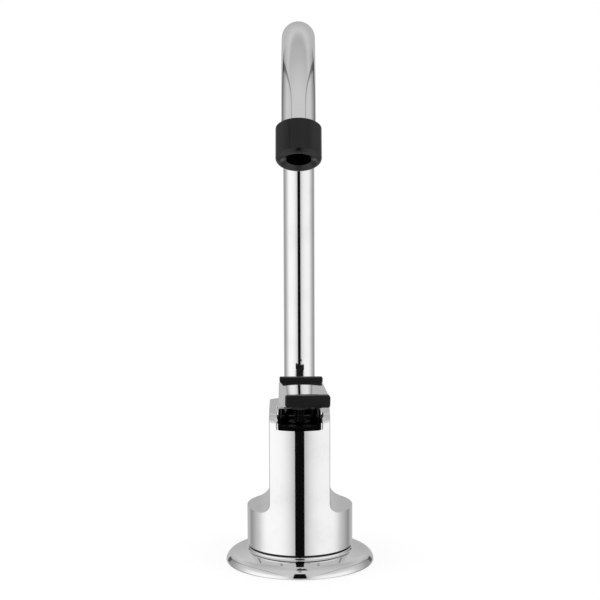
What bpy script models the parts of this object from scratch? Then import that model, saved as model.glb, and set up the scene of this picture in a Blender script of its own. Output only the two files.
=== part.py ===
# Drinking fountain faucet: a gooseneck spout over a push lever that opens a spring closed valve.
# Blender 4.5. Sizes below are in millimetres and angles in degrees; meshes are made in metres.
# The origin lies on the axis of the body, in the plane of the counter that the faucet stands on.
# +Z is up and -Y is the side that the spout reaches over, where the user stands.

import math

import bmesh
import bpy
from mathutils import Matrix, Vector

MM = 0.001

# Clearances
SEAT_GAP = 0.3
SEAL_GAP = 0.15
SEAM_GAP = 0.2

# Body: a turned bar, milled flat on both sides above a shoulder
BODY_RADIUS = 21.7
BODY_TOP = 65.4
SHOULDER_HEIGHT = 24.0
FLAT_FILLET = 4.5
TOP_FILLET = 4.5
EDGE_ROUND = 0.55
BODY_FOOT_CHAMFER = 0.4
SPIGOT_WALL = 3.0
SPIGOT_FOOT = 1.8

# Places of the stem, the lever's pin and the column, as shares of the body's radius
STEM_SHARE = 120 / 217
PIN_SHARE = 50 / 217
COLUMN_SHARE = 90 / 217

# Slot in the top of the body
SLAB_SIDE_WALL = 4.1
SLOT_ROUND = 1.3
SLOT_ROUND_SWEEP = 70.0
SLOT_REAR_EASE = 0.1
STEM_TO_POCKET_FRONT = 6.3
SILL_DEPTH = 5.7
POCKET_DEPTH = 8.4

# Slot liner
LINER_WALL = 0.8
LINER_FLOOR = 1.2
LINER_SILL = 1.4
LINER_BELOW_TOP = 1.0
LEG_PLAY = 1.0

# Lever, measured from its pin
LEVER_YAW = 6.5
PIN_DEPTH = 3.9
PIN_RADIUS = 1.2
PIN_END_PLAY = 0.5
LEG_RADIUS = 2.4
CAP_WIDTH = 17.8
CAP_CHEEK = 2.4
CAP_PLATE = 1.2
CAP_CROWN = 0.25
CAP_CORNER = 1.1
CAP_EDGE_HEIGHT = 15.3
CAP_REAR_RISE = 1.4
CAP_FRONT = 26.3
CAP_REAR = 3.2
CHEEK_FRONT_FOOT = 10.4
CHEEK_REAR_FOOT = 5.0
CORE_WALL = 1.3
WEB_FOOT = 10.0
CORE_KNEE_FORWARD = 9.0
CORE_KNEE_HEIGHT = 5.8
CORE_BACK_HEIGHT = 12.0
CORE_JOIN = 1.0
CORE_STEP = 0.6
CORE_SKIRT = 0.1
BUMPER_WIDTH = 18.1
BUMPER_DEPTH = 3.2
BUMPER_FOOT = 10.3
BUMPER_HEIGHT = 5.3
BUMPER_ROUND = 1.3
LIP_WIDTH = 17.5
LIP_DEPTH = 2.5
LIP_HEIGHT = 2.3
LIP_ABOVE_WEB = 0.8
LIP_BEHIND_PIN = -3.35
LIP_ROUND = 0.9

# Valve, stacked up from the floor of its bore
VALVE_BORE_RADIUS = 4.8
VALVE_BORE_DEPTH = 27.0
SLEEVE_WALL = 1.1
SLEEVE_LENGTH = 19.7
SLEEVE_LIP = 1.0
SLEEVE_LIP_RADIUS = 1.6
SLEEVE_GROOVE_DEPTH = 0.6
SLEEVE_LAND = 0.8
SPRING_LENGTH = 5.6
SPRING_RADIUS = 2.3
SPRING_WIRE = 0.6
SPRING_TURNS = 5
POPPET_RADIUS = 2.8
POPPET_THICKNESS = 1.5
WASHER_THICKNESS = 1.4
SEAT_THICKNESS = 1.5
SEAT_HOLE_RADIUS = 2.1
PORT_RADIUS = 1.5
PORT_ABOVE_SEAT = 2.6
STEM_RADIUS = 2.0
STEM_NECK_RADIUS = 1.5
STEM_NECK_TAPER = 0.5
STEM_TAIL_RADIUS = 1.0
STEM_TAIL_LENGTH = 3.5
BONNET_ACROSS_FLATS = 9.4
BONNET_HEX_HEIGHT = 2.8
BONNET_NECK_CLEARANCE = 0.3
BONNET_GROOVE_DEPTH = 0.9
BONNET_GROOVE_LIFT = 1.7
ADJUSTER_ACROSS_FLATS = 7.0
ADJUSTER_HEIGHT = 2.8
ADJUSTER_BELOW_TIP = 1.2

# Spout
TUBE_DIAMETER = 12.7
TUBE_WALL = 1.0
BEND_START_HEIGHT = 167.1
BEND_RADIUS = 52.0
BEND_ANGLE = 145.4
TUBE_RUN_OUT = 8.6
TIP_LENGTH = 14.0
TIP_GRIP = 8.7
TIP_WALL = 1.85
TIP_MOUTH_RADIUS = 4.6
TIP_MOUTH_LIP = 1.1
TIP_END_ROUND = 1.8
TIP_RIM_ROUND = 0.4
FERRULE_HEAD = 6.9
FERRULE_SPIGOT = 7.0
FERRULE_BORE_RADIUS = 3.0
FERRULE_GROOVE_DEPTH = 1.15
FERRULE_LAND = 1.0
COLLAR_WALL = 1.25
COLLAR_HEIGHT = 1.6
OUTLET_RADIUS = 2.2
SOCKET_SUMP = 1.8

# Escutcheon and the seal above it
FLANGE_RADIUS = 30.5
FLANGE_RIM = 1.3
FLANGE_ROUND = 5.0
FLANGE_ROUND_START = 17.0
FLANGE_SLOPE = 12.4
NECK_STEP = 0.1
NECK_HEIGHT = 6.9
NECK_FILLET = 0.7
RECESS_DEPTH = 1.8
RIM_WIDTH = 3.0
BODY_SEAL_THICKNESS = 0.5
BODY_SEAL_WIDTH = 1.9
GASKET_THICKNESS = 1.5

# Fixing below the counter
COUNTER_THICKNESS = 27.0
SHANK_RADIUS = 5.55
SHANK_BORE_RADIUS = 3.3
SHANK_LENGTH = 69.0
SHANK_SOCKET_DEPTH = 14.2
SHANK_END_SPACE = 2.0
INLET_RADIUS = 1.8
DECK_WASHER_RADIUS = 17.0
DECK_WASHER_THICKNESS = 2.5
LOCK_WASHER_RADIUS = 10.0
LOCK_WASHER_THICKNESS = 0.8
LOCK_WASHER_TEETH = 12
LOCK_TOOTH_DEPTH = 1.6
SHANK_NUT_ACROSS_FLATS = 19.0
SHANK_NUT_HEIGHT = 8.0

# Round top face of a hexagon, as a share of its width across the flats
HEX_FACE_SHARE = 0.95

# Facets round a full turn
FLANGE_FACETS = 52
TUBE_FACETS = 24
TIP_FACETS = 28
RING_FACETS = 36
PIECE_FACETS = 24
INNER_FACETS = 18

FINISHES = {
    "chrome": ((0.80, 0.81, 0.82), 0.08, 1.0),
    "brass": ((0.72, 0.53, 0.26), 0.28, 1.0),
    "steel": ((0.56, 0.56, 0.55), 0.30, 1.0),
    "acetal": ((0.012, 0.012, 0.013), 0.42, 0.0),
    "rubber": ((0.018, 0.018, 0.018), 0.60, 0.0),
}

# Worked out from the sizes above: heights of the body
tube_radius = TUBE_DIAMETER / 2
tube_bore_radius = tube_radius - TUBE_WALL
body_foot = NECK_HEIGHT + BODY_SEAL_THICKNESS + 2 * SEAM_GAP
spigot_radius = BODY_RADIUS - SPIGOT_WALL
stem_forward = STEM_SHARE * BODY_RADIUS
pin_forward = PIN_SHARE * BODY_RADIUS
column_back = COLUMN_SHARE * BODY_RADIUS
sill_height = BODY_TOP - SILL_DEPTH
pocket_floor = BODY_TOP - POCKET_DEPTH
dome_centre = (BODY_RADIUS - TOP_FILLET, BODY_TOP - TOP_FILLET)
socket_radius = tube_radius + SEAT_GAP

# Across the lever and its slot
yaw = math.radians(LEVER_YAW)
cap_half = CAP_WIDTH / 2
core_half = cap_half - CAP_CHEEK - SEAT_GAP
liner_inner_half = core_half + LEG_PLAY
liner_outer_half = liner_inner_half + LINER_WALL
slot_half = liner_outer_half + SEAT_GAP
slab_half = slot_half + SLAB_SIDE_WALL

# Along the slot, front to rear
pin_height = BODY_TOP - PIN_DEPTH
pin_half = slot_half - PIN_END_PLAY
leg_rear_reach = LEG_RADIUS * math.cos(yaw) + core_half * math.sin(yaw)
liner_inner_rear = -pin_forward + leg_rear_reach + SEAT_GAP
liner_outer_rear = liner_inner_rear + LINER_WALL
slot_rear = liner_outer_rear + SEAT_GAP
pocket_front = -stem_forward - STEM_TO_POCKET_FRONT
liner_floor_top = pin_height - LEG_RADIUS - SEAT_GAP
liner_sill_top = sill_height + SEAT_GAP + LINER_SILL

# Lever heights above the pin
plate_rear = -LIP_BEHIND_PIN + LIP_DEPTH + SEAT_GAP
cap_slope = CAP_REAR_RISE / (CAP_FRONT - CAP_REAR)
cap_inner_top = CAP_EDGE_HEIGHT - CAP_PLATE
web_top = cap_inner_top - SEAT_GAP
web_rear_top = web_top + cap_slope * (CAP_FRONT - plate_rear)
lip_foot = web_rear_top + LIP_ABOVE_WEB

# Heights of the valve
bore_floor = pocket_floor - VALVE_BORE_DEPTH
sleeve_radius = VALVE_BORE_RADIUS - SEAT_GAP
sleeve_bore_radius = sleeve_radius - SLEEVE_WALL
sleeve_foot = bore_floor + SEAT_GAP
sleeve_top = sleeve_foot + SLEEVE_LENGTH
spring_foot = sleeve_foot + SLEEVE_LIP + SEAT_GAP
poppet_foot = spring_foot + SPRING_LENGTH + SEAT_GAP
poppet_top = poppet_foot + POPPET_THICKNESS
washer_foot = poppet_top + SEAT_GAP
seat_foot = washer_foot + WASHER_THICKNESS + SEAT_GAP
seat_top = seat_foot + SEAT_THICKNESS
port_height = seat_top + PORT_ABOVE_SEAT
bonnet_foot = sleeve_top + SEAT_GAP
bonnet_hex_foot = liner_floor_top + SEAT_GAP
stem_tip = pin_height + WEB_FOOT - SEAT_GAP
adjuster_top = stem_tip - ADJUSTER_BELOW_TIP

# Heights of the spout's foot and of the shank
socket_floor = port_height - OUTLET_RADIUS - SOCKET_SUMP
ferrule_foot = port_height + OUTLET_RADIUS + SEAT_GAP
tube_foot = ferrule_foot + FERRULE_HEAD + SEAT_GAP
shank_socket_top = SPIGOT_FOOT + SHANK_SOCKET_DEPTH
shank_socket_radius = SHANK_RADIUS + SEAT_GAP
shank_top = shank_socket_top - SHANK_END_SPACE


def arc(centre, radius, start, end, steps):
    # Points of a round stretch from the start angle to the end angle, in degrees.
    points = []
    for step in range(steps + 1):
        angle = math.radians(start + (end - start) * step / steps)
        points.append((centre[0] + radius * math.cos(angle), centre[1] + radius * math.sin(angle)))
    return points


def circle_ring(radius, height, count):
    ring = []
    for index in range(count):
        angle = 2 * math.pi * index / count
        ring.append(Vector((radius * math.cos(angle), radius * math.sin(angle), height)))
    return ring


def hexagon_ring(across_flats, height, count, limit):
    # A hexagon with corners along X, cut down to the limit radius by a chamfer.
    ring = []
    for index in range(count):
        angle = 2 * math.pi * index / count
        from_flat = (angle % (math.pi / 3)) - math.pi / 6
        radius = min(across_flats / 2 / math.cos(from_flat), limit)
        ring.append(Vector((radius * math.cos(angle), radius * math.sin(angle), height)))
    return ring


def loft(rings, closed=False):
    # Quads between rings of equally many points. An open loft gets a face at each end.
    bm = bmesh.new()
    rows = [[bm.verts.new(point) for point in ring] for ring in rings]
    pairs = list(zip(rows, rows[1:]))
    if closed:
        pairs.append((rows[-1], rows[0]))
    for lower, upper in pairs:
        count = len(lower)
        for index in range(count):
            following = (index + 1) % count
            bm.faces.new((lower[index], lower[following], upper[following], upper[index]))
    if not closed:
        bm.faces.new(rows[0])
        bm.faces.new(rows[-1])
    return settle(bm)


def turned(profile, facets, centre=(0.0, 0.0)):
    # A closed outline of radius and height, spun round the upright line at the centre.
    bm = bmesh.new()
    verts = [bm.verts.new((centre[0] + radius, centre[1], height)) for radius, height in profile]
    edges = []
    for index, vert in enumerate(verts):
        before = verts[index - 1]
        on_axis = profile[index][0] == 0 and profile[index - 1][0] == 0
        if not on_axis:
            edges.append(bm.edges.new((before, vert)))
    bmesh.ops.spin(bm, geom=verts + edges, cent=(centre[0], centre[1], 0), axis=(0, 0, 1),
                   angle=2 * math.pi, steps=facets, use_merge=True)
    return settle(bm)


def extruded(outline, start, end, axis):
    # An outline drawn across the axis, extruded along it. Across X it is (y, z), across Y it is (x, z).
    rings = []
    for place in (start, end):
        if axis == "X":
            rings.append([Vector((place, first, second)) for first, second in outline])
        else:
            rings.append([Vector((first, place, second)) for first, second in outline])
    return loft(rings)


def rounded_block(size, centre, corner, along, steps=4):
    # A block whose four edges along one axis are round.
    across = [index for index in range(3) if index != "XYZ".index(along)]
    halves = [size[index] / 2 - corner for index in across]
    outline = []
    for quarter, (side, up) in enumerate(((1, 1), (-1, 1), (-1, -1), (1, -1))):
        middle = (centre[across[0]] + side * halves[0], centre[across[1]] + up * halves[1])
        outline += arc(middle, corner, 90 * quarter, 90 * quarter + 90, steps)
    place = centre["XYZ".index(along)]
    reach = size["XYZ".index(along)] / 2
    return extruded(outline, place - reach, place + reach, along)


def drill(radius, start, end, facets=PIECE_FACETS):
    # A round bar between two points, for a drilled or cored passage.
    start = Vector(start)
    end = Vector(end)
    turn = (end - start).to_track_quat("Z", "Y").to_matrix()
    rings = []
    for point, height in ((start, 0.0), (end, 0.0)):
        rings.append([point + turn @ spoke for spoke in circle_ring(radius, height, facets)])
    return loft(rings)


def settle(bm):
    # Joins points that fell together and turns every face outward.
    bmesh.ops.remove_doubles(bm, verts=bm.verts, dist=1e-5)
    bmesh.ops.recalc_face_normals(bm, faces=bm.faces)
    return bm


def add_object(name, bm, parent=None, smooth_angle=30.0):
    bmesh.ops.scale(bm, vec=(MM, MM, MM), verts=bm.verts)
    mesh = bpy.data.meshes.new(name)
    bm.to_mesh(mesh)
    bm.free()
    mesh.shade_smooth()
    mesh.set_sharp_from_angle(angle=math.radians(smooth_angle))
    thing = bpy.data.objects.new(name, mesh)
    bpy.context.collection.objects.link(thing)
    thing.parent = parent
    return thing


def add_piece(name, bm, finish, parent=None, smooth_angle=30.0):
    piece = add_object(name, bm, parent, smooth_angle)
    colour, roughness, metallic = FINISHES[finish]
    material = bpy.data.materials.new(name + "_" + finish)
    material.use_nodes = True
    shader = material.node_tree.nodes["Principled BSDF"]
    shader.inputs["Base Color"].default_value = (*colour, 1.0)
    shader.inputs["Roughness"].default_value = roughness
    shader.inputs["Metallic"].default_value = metallic
    piece.data.materials.append(material)
    return piece


def add_boolean(piece, name, bm, operation="DIFFERENCE"):
    tool = add_object(name, bm, piece.parent)
    tool.hide_render = True
    tool.display_type = "WIRE"
    boolean = piece.modifiers.new(name, "BOOLEAN")
    boolean.operation = operation
    boolean.solver = "EXACT"
    boolean.object = tool
    return tool


def add_axis(name, location, turn=0.0):
    axis = bpy.data.objects.new(name, None)
    axis.empty_display_size = 20 * MM
    axis.location = Vector(location) * MM
    axis.rotation_euler = (0.0, 0.0, turn)
    bpy.context.collection.objects.link(axis)
    return axis


# Body

def clipped_ring(radius, half_width, height, reach=None):
    # A circle cut at both sides by planes at half_width. The front and rear stretches reach to the
    # cut, or to the angle given, so that the rings above and below a shoulder line up.
    front_steps = 16
    side_steps = 11
    if reach is None:
        reach = math.asin(half_width / radius)
    ring = []
    for turn in (-math.pi / 2, math.pi / 2):
        for step in range(front_steps):
            angle = turn - reach + 2 * reach * step / front_steps
            ring.append(Vector((radius * math.cos(angle), radius * math.sin(angle), height)))
        side = 1 if turn < 0 else -1
        for step in range(side_steps):
            angle = turn + reach + (math.pi - 2 * reach) * step / side_steps
            x = radius * math.cos(angle)
            ring.append(Vector((side * min(abs(x), half_width), radius * math.sin(angle), height)))
    return ring


def slab_edges(bm):
    # The outline of each flat: its two upright corners, its top edge and the rim of its shoulder.
    weight = bm.edges.layers.float.new("bevel_weight_edge")
    for edge in bm.edges:
        if len(edge.link_faces) == 2 and edge.calc_face_angle() > math.radians(28):
            middle = (edge.verts[0].co + edge.verts[1].co) / 2
            across = max(abs(vert.co.x) for vert in edge.verts) > slab_half - 0.01
            if middle.z > SHOULDER_HEIGHT - 0.01 and across:
                edge[weight] = 1.0


def body_blank():
    # The fillet at the foot of each flat is limited by the shoulder that it runs out on.
    fillet = min(FLAT_FILLET, 0.8 * (BODY_RADIUS - slab_half))
    root_half = slab_half + fillet
    reach = math.asin(root_half / BODY_RADIUS)
    steps = 5
    round_profile = [
        (spigot_radius, SPIGOT_FOOT),
        (spigot_radius, body_foot),
        (BODY_RADIUS - BODY_FOOT_CHAMFER, body_foot),
        (BODY_RADIUS, body_foot + BODY_FOOT_CHAMFER),
        (BODY_RADIUS, SHOULDER_HEIGHT),
    ]
    rings = [clipped_ring(radius, radius, height, reach) for radius, height in round_profile]
    for half_width, height in arc((root_half, SHOULDER_HEIGHT + fillet), fillet, 270, 180, steps):
        rings.append(clipped_ring(BODY_RADIUS, half_width, height))
    for radius, height in arc(dome_centre, TOP_FILLET, 0, 90, steps):
        rings.append(clipped_ring(radius, slab_half, height))
    bm = loft(rings)
    for side in (-1, 1):
        flat = [face for face in bm.faces if face.normal.x * side > 0.9999]
        bmesh.ops.dissolve_faces(bm, faces=flat, use_verts=True)
    slab_edges(bm)
    return bm


def slot_outline():
    beyond = -BODY_RADIUS - 5.0
    above = BODY_TOP + 5.0
    return [
        (beyond, sill_height),
        (pocket_front, sill_height),
        (pocket_front, pocket_floor),
        (slot_rear, pocket_floor),
        (slot_rear, above),
        (beyond, above),
    ]


def front_line(offset, half_width, rear):
    # The line of the body's skin over the top and down the front at half_width from the middle,
    # moved outward by the offset, from the rear of the slot to just above its sill.
    line = [(rear, BODY_TOP + offset)]
    for radius, height in arc(dome_centre, TOP_FILLET + offset, 90, 0, 8):
        line.append((-math.sqrt(radius ** 2 - half_width ** 2), height))
    line.append((line[-1][0], sill_height + SEAM_GAP))
    return line


def slot_edge():
    # A cutter that follows the skin and leaves a round edge along the sides and the rear of the slot.
    # Each row is a line along the slot, from its wall up the round edge to well outside the skin.
    # The rear edge is rounded a little less, so that the rows turn just before the slot's corners.
    proud = 0.3
    clear = 2.0
    rows = []
    for out, height in arc((SLOT_ROUND, 0), SLOT_ROUND, 180, 180 - SLOT_ROUND_SWEEP, 3):
        rows.append((out, height - SLOT_ROUND))
    # The first stretch starts as far inside the slot as it ends outside its wall.
    rows[0] = (rows[0][0] * 2 - rows[1][0], rows[0][1] * 2 - rows[1][1])
    last_out, last_offset = rows[-1]
    spread = math.tan(math.radians(SLOT_ROUND_SWEEP))
    rows.append((last_out + (proud - last_offset) * spread, proud))
    rows.append((rows[-1][0], clear))
    bm = bmesh.new()
    sides = []
    for side in (-1, 1):
        grid = []
        for out, offset in rows:
            half_width = slot_half + out
            line = front_line(offset, half_width, slot_rear - SLOT_REAR_EASE + out)
            grid.append([bm.verts.new((side * half_width, y, z)) for y, z in line])
        sides.append(grid)
    left, right = sides
    last = len(left[0]) - 1
    for lower, upper in zip(range(len(rows) - 1), range(1, len(rows))):
        for grid in sides:
            for place in range(last):
                bm.faces.new((grid[lower][place], grid[lower][place + 1],
                              grid[upper][place + 1], grid[upper][place]))
        bm.faces.new((left[lower][0], right[lower][0], right[upper][0], left[upper][0]))
    for row in (0, -1):
        for place in range(last):
            bm.faces.new((left[row][place], right[row][place], right[row][place + 1], left[row][place + 1]))
    bm.faces.new([line[last] for line in left] + [line[last] for line in reversed(right)])
    bmesh.ops.triangulate(bm, faces=bm.faces)
    return settle(bm)


def make_body():
    body = add_piece("faucet_body", body_blank(), "chrome")
    bevel = body.modifiers.new("rounded_edges", "BEVEL")
    bevel.limit_method = "WEIGHT"
    bevel.width = EDGE_ROUND * MM
    bevel.segments = 2
    stem_y = -stem_forward
    add_boolean(body, "cut_slot", extruded(slot_outline(), -slot_half, slot_half, "X"))
    add_boolean(body, "cut_slot_edge", slot_edge())
    add_boolean(body, "cut_valve_bore",
                drill(VALVE_BORE_RADIUS, (0, stem_y, bore_floor), (0, stem_y, pocket_floor + 1)))
    add_boolean(body, "cut_spout_socket",
                drill(socket_radius, (0, column_back, socket_floor), (0, column_back, BODY_TOP + 1)))
    add_boolean(body, "cut_outlet_passage",
                drill(OUTLET_RADIUS, (0, stem_y, port_height), (0, column_back, port_height), 16))
    add_boolean(body, "cut_shank_socket",
                drill(shank_socket_radius, (0, 0, SPIGOT_FOOT - 1), (0, 0, shank_socket_top)))
    add_boolean(body, "cut_inlet_passage",
                drill(INLET_RADIUS, (0, 0, shank_socket_top - 1), (0, stem_y, bore_floor + 1), 16))


# Lining of the slot

def liner_envelope():
    # The inside of the body's skin, less the seat gap.
    profile = [(0, bore_floor), (BODY_RADIUS - SEAT_GAP, bore_floor)]
    profile += arc(dome_centre, TOP_FILLET - SEAT_GAP, 0, 90, 5)
    profile.append((0, BODY_TOP - SEAT_GAP))
    return turned(profile, 48)


def make_liner():
    top = BODY_TOP - LINER_BELOW_TOP
    beyond = -BODY_RADIUS - 5.0
    foot = liner_floor_top - LINER_FLOOR
    front = pocket_front + SEAT_GAP
    sill_foot = sill_height + SEAT_GAP
    outline = [
        (beyond, sill_foot), (front, sill_foot), (front, foot),
        (liner_outer_rear, foot), (liner_outer_rear, top), (beyond, top),
    ]
    liner = add_piece("slot_liner", extruded(outline, -liner_outer_half, liner_outer_half, "X"), "acetal")
    inner_front = front + LINER_WALL
    void = [
        (beyond - 1, liner_sill_top), (inner_front, liner_sill_top), (inner_front, liner_floor_top),
        (liner_inner_rear, liner_floor_top), (liner_inner_rear, top + 1), (beyond - 1, top + 1),
    ]
    add_boolean(liner, "cut_liner_void", extruded(void, -liner_inner_half, liner_inner_half, "X"))
    neck_hole = VALVE_BORE_RADIUS
    add_boolean(liner, "cut_liner_neck_hole",
                drill(neck_hole, (0, -stem_forward, foot - 1), (0, -stem_forward, liner_floor_top + 1)))
    hole_height = 2 * (PIN_RADIUS + SEAT_GAP)
    swing = pin_half * math.sin(yaw) + PIN_RADIUS / math.cos(yaw) + SEAT_GAP
    add_boolean(liner, "cut_liner_pin_holes",
                rounded_block((2 * liner_outer_half + 2, 2 * swing, hole_height),
                              (0, -pin_forward, pin_height), hole_height / 2 - 0.01, "X"))
    add_boolean(liner, "trim_liner_to_body", liner_envelope(), "INTERSECT")


# Lever

def make_lever_cap(lever):
    # A folded channel with a crowned top, open below and notched at the rear for the core's neck.
    inner_half = cap_half - CAP_CHEEK
    flat_half = cap_half - CAP_CORNER
    crown_radius = (flat_half ** 2 + CAP_CROWN ** 2) / (2 * CAP_CROWN)
    sweep = math.degrees(math.asin(flat_half / crown_radius))
    rings = []
    for y, foot in ((-CAP_FRONT, CHEEK_FRONT_FOOT), (-CAP_REAR, CHEEK_REAR_FOOT)):
        rise = cap_slope * (y + CAP_FRONT)
        edge_height = CAP_EDGE_HEIGHT + rise
        ceiling = cap_inner_top + rise
        crown_centre = (0.0, edge_height + CAP_CROWN - crown_radius)
        section = [(inner_half, ceiling), (inner_half, foot), (cap_half, foot)]
        section += arc((flat_half, edge_height - CAP_CORNER), CAP_CORNER, 0, 80, 3)
        section += arc(crown_centre, crown_radius, 90 - sweep, 90 + sweep, 6)
        section += arc((-flat_half, edge_height - CAP_CORNER), CAP_CORNER, 100, 180, 3)
        section += [(-cap_half, foot), (-inner_half, foot), (-inner_half, ceiling)]
        rings.append([Vector((x, y, z)) for x, z in section])
    cap = add_piece("lever_cap", loft(rings), "chrome", lever)
    cheek_top = lip_foot - SEAT_GAP
    beyond = cap_half + 2
    above = CAP_EDGE_HEIGHT + CAP_REAR_RISE + CAP_CROWN + 2
    notch = [
        (-inner_half, WEB_FOOT), (inner_half, WEB_FOOT), (inner_half, cheek_top), (beyond, cheek_top),
        (beyond, above), (-beyond, above), (-beyond, cheek_top), (-inner_half, cheek_top),
    ]
    add_boolean(cap, "cut_cap_notch", extruded(notch, -plate_rear, 1 - CAP_REAR, "Y"))


def tangent_angle(point, radius, side):
    # Where the line from a point touches a circle round the pin, in degrees round that circle.
    reach = math.hypot(*point)
    return math.degrees(math.atan2(point[1], point[0]) + side * math.acos(radius / reach))


def core_outline():
    knee = (-CORE_KNEE_FORWARD, CORE_KNEE_HEIGHT)
    back = (LIP_BEHIND_PIN, CORE_BACK_HEIGHT)
    into_bumper = -CAP_FRONT - SEAT_GAP - CORE_JOIN
    into_lip = lip_foot + CORE_JOIN / 2
    step_foot = BUMPER_FOOT + CORE_STEP
    neck_front = LIP_BEHIND_PIN - LIP_DEPTH + SEAT_GAP
    outline = [
        (into_bumper, web_top), (into_bumper, step_foot), (-CAP_FRONT, step_foot),
        (-CAP_FRONT, WEB_FOOT - CORE_SKIRT), knee,
    ]
    outline += arc((0, 0), LEG_RADIUS, tangent_angle(knee, LEG_RADIUS, 1),
                   tangent_angle(back, LEG_RADIUS, -1) + 360, 10)
    outline += [back, (LIP_BEHIND_PIN, into_lip), (neck_front, into_lip),
                (neck_front, web_rear_top)]
    return outline


def make_lever_core(lever):
    core = add_piece("lever_core", extruded(core_outline(), -core_half, core_half, "X"), "acetal", lever)
    bumper_rear = -CAP_FRONT - SEAT_GAP
    bumper_middle = (0, bumper_rear - BUMPER_DEPTH / 2, BUMPER_FOOT + BUMPER_HEIGHT / 2)
    bumper = rounded_block((BUMPER_WIDTH, BUMPER_DEPTH, BUMPER_HEIGHT), bumper_middle, BUMPER_ROUND, "Y")
    add_boolean(core, "join_bumper", bumper, "UNION")
    lip_middle = (0, LIP_BEHIND_PIN - LIP_DEPTH / 2, lip_foot + LIP_HEIGHT / 2)
    lip = rounded_block((LIP_WIDTH, LIP_DEPTH, LIP_HEIGHT), lip_middle, LIP_ROUND, "Y")
    add_boolean(core, "join_lip", lip, "UNION")
    inner_half = core_half - CORE_WALL
    below = [(-CAP_FRONT - 0.5, -LEG_RADIUS - 1), (LEG_RADIUS + 1, -LEG_RADIUS - 1),
             (LEG_RADIUS + 1, WEB_FOOT), (-CAP_FRONT - 0.5, WEB_FOOT)]
    add_boolean(core, "cut_core_hollow", extruded(below, -inner_half, inner_half, "X"))
    add_boolean(core, "cut_core_pin_hole",
                drill(PIN_RADIUS + SEAT_GAP, (-core_half - 1, 0, 0), (core_half + 1, 0, 0), 16))


def make_lever(lever):
    make_lever_cap(lever)
    make_lever_core(lever)
    add_piece("lever_pin", drill(PIN_RADIUS, (-pin_half, 0, 0), (pin_half, 0, 0), 16), "acetal", lever)


# Valve

def hex_body(across_flats, foot, top, bore):
    # A nut with a round bore, its upper corners cut back by a 30 degree cone.
    face_radius = HEX_FACE_SHARE * across_flats / 2
    corner_radius = across_flats / 2 / math.cos(math.pi / 6)
    drop = (corner_radius - face_radius) * math.tan(math.radians(30))
    steps = 3
    rings = [circle_ring(bore, top, PIECE_FACETS), circle_ring(bore, foot, PIECE_FACETS)]
    rings.append(hexagon_ring(across_flats, foot, PIECE_FACETS, corner_radius))
    for step in range(steps, 0, -1):
        radius = face_radius + (corner_radius - face_radius) * step / steps
        rings.append(hexagon_ring(across_flats, top - drop * step / steps, PIECE_FACETS, radius))
    rings.append(circle_ring(face_radius, top, PIECE_FACETS))
    return rings


def make_bonnet(stem):
    hex_top = bonnet_hex_foot + BONNET_HEX_HEIGHT
    neck = VALVE_BORE_RADIUS - BONNET_NECK_CLEARANCE
    bore = STEM_RADIUS + SEAT_GAP
    groove = bore + BONNET_GROOVE_DEPTH
    ring_radius = (groove - STEM_RADIUS) / 2 - SEAL_GAP
    groove_foot = bonnet_foot + BONNET_GROOVE_LIFT
    groove_top = groove_foot + 2 * (ring_radius + SEAM_GAP)
    inner = [(bore, groove_top), (groove, groove_top), (groove, groove_foot),
             (bore, groove_foot), (bore, bonnet_foot), (neck, bonnet_foot), (neck, bonnet_hex_foot)]
    rings = hex_body(BONNET_ACROSS_FLATS, bonnet_hex_foot, hex_top, bore)
    lower = [circle_ring(radius, height, PIECE_FACETS) for radius, height in inner]
    add_piece("bonnet_nut", loft([rings[0]] + lower + rings[2:], closed=True), "acetal", stem)
    middle = (groove_foot + groove_top) / 2
    add_ring_seal("stem_o_ring", (groove + STEM_RADIUS) / 2, ring_radius, middle, stem)


def add_ring_seal(name, radius, section, height, parent):
    profile = arc((radius, height), section, 0, 360, 6)[:-1]
    return add_piece(name, turned(profile, INNER_FACETS), "rubber", parent)


def make_sleeve(stem):
    groove = sleeve_radius - SLEEVE_GROOVE_DEPTH
    section = (VALVE_BORE_RADIUS - groove) / 2 - SEAL_GAP
    groove_height = 2 * (section + SEAM_GAP)
    seal_feet = (seat_foot - SLEEVE_LAND - groove_height, sleeve_top - SLEEVE_LAND - groove_height)
    profile = [(sleeve_radius, sleeve_foot)]
    for foot in seal_feet:
        profile += [(sleeve_radius, foot), (groove, foot)]
        profile += [(groove, foot + groove_height), (sleeve_radius, foot + groove_height)]
    profile += [
        (sleeve_radius, sleeve_top), (sleeve_bore_radius, sleeve_top),
        (sleeve_bore_radius, seat_top), (SEAT_HOLE_RADIUS, seat_top),
        (SEAT_HOLE_RADIUS, seat_foot), (sleeve_bore_radius, seat_foot),
        (sleeve_bore_radius, sleeve_foot + SLEEVE_LIP), (SLEEVE_LIP_RADIUS, sleeve_foot + SLEEVE_LIP),
        (SLEEVE_LIP_RADIUS, sleeve_foot),
    ]
    sleeve = add_piece("valve_sleeve", turned(profile, INNER_FACETS), "brass", stem)
    reach = sleeve_radius + 1
    port_facets = 12
    add_boolean(sleeve, "cut_sleeve_ports",
                drill(PORT_RADIUS, (0, -reach, port_height), (0, reach, port_height), port_facets))
    names = ("sleeve_o_ring_lower", "sleeve_o_ring_upper")
    for name, foot in zip(names, seal_feet):
        add_ring_seal(name, (groove + VALVE_BORE_RADIUS) / 2, section, foot + groove_height / 2, stem)


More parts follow.
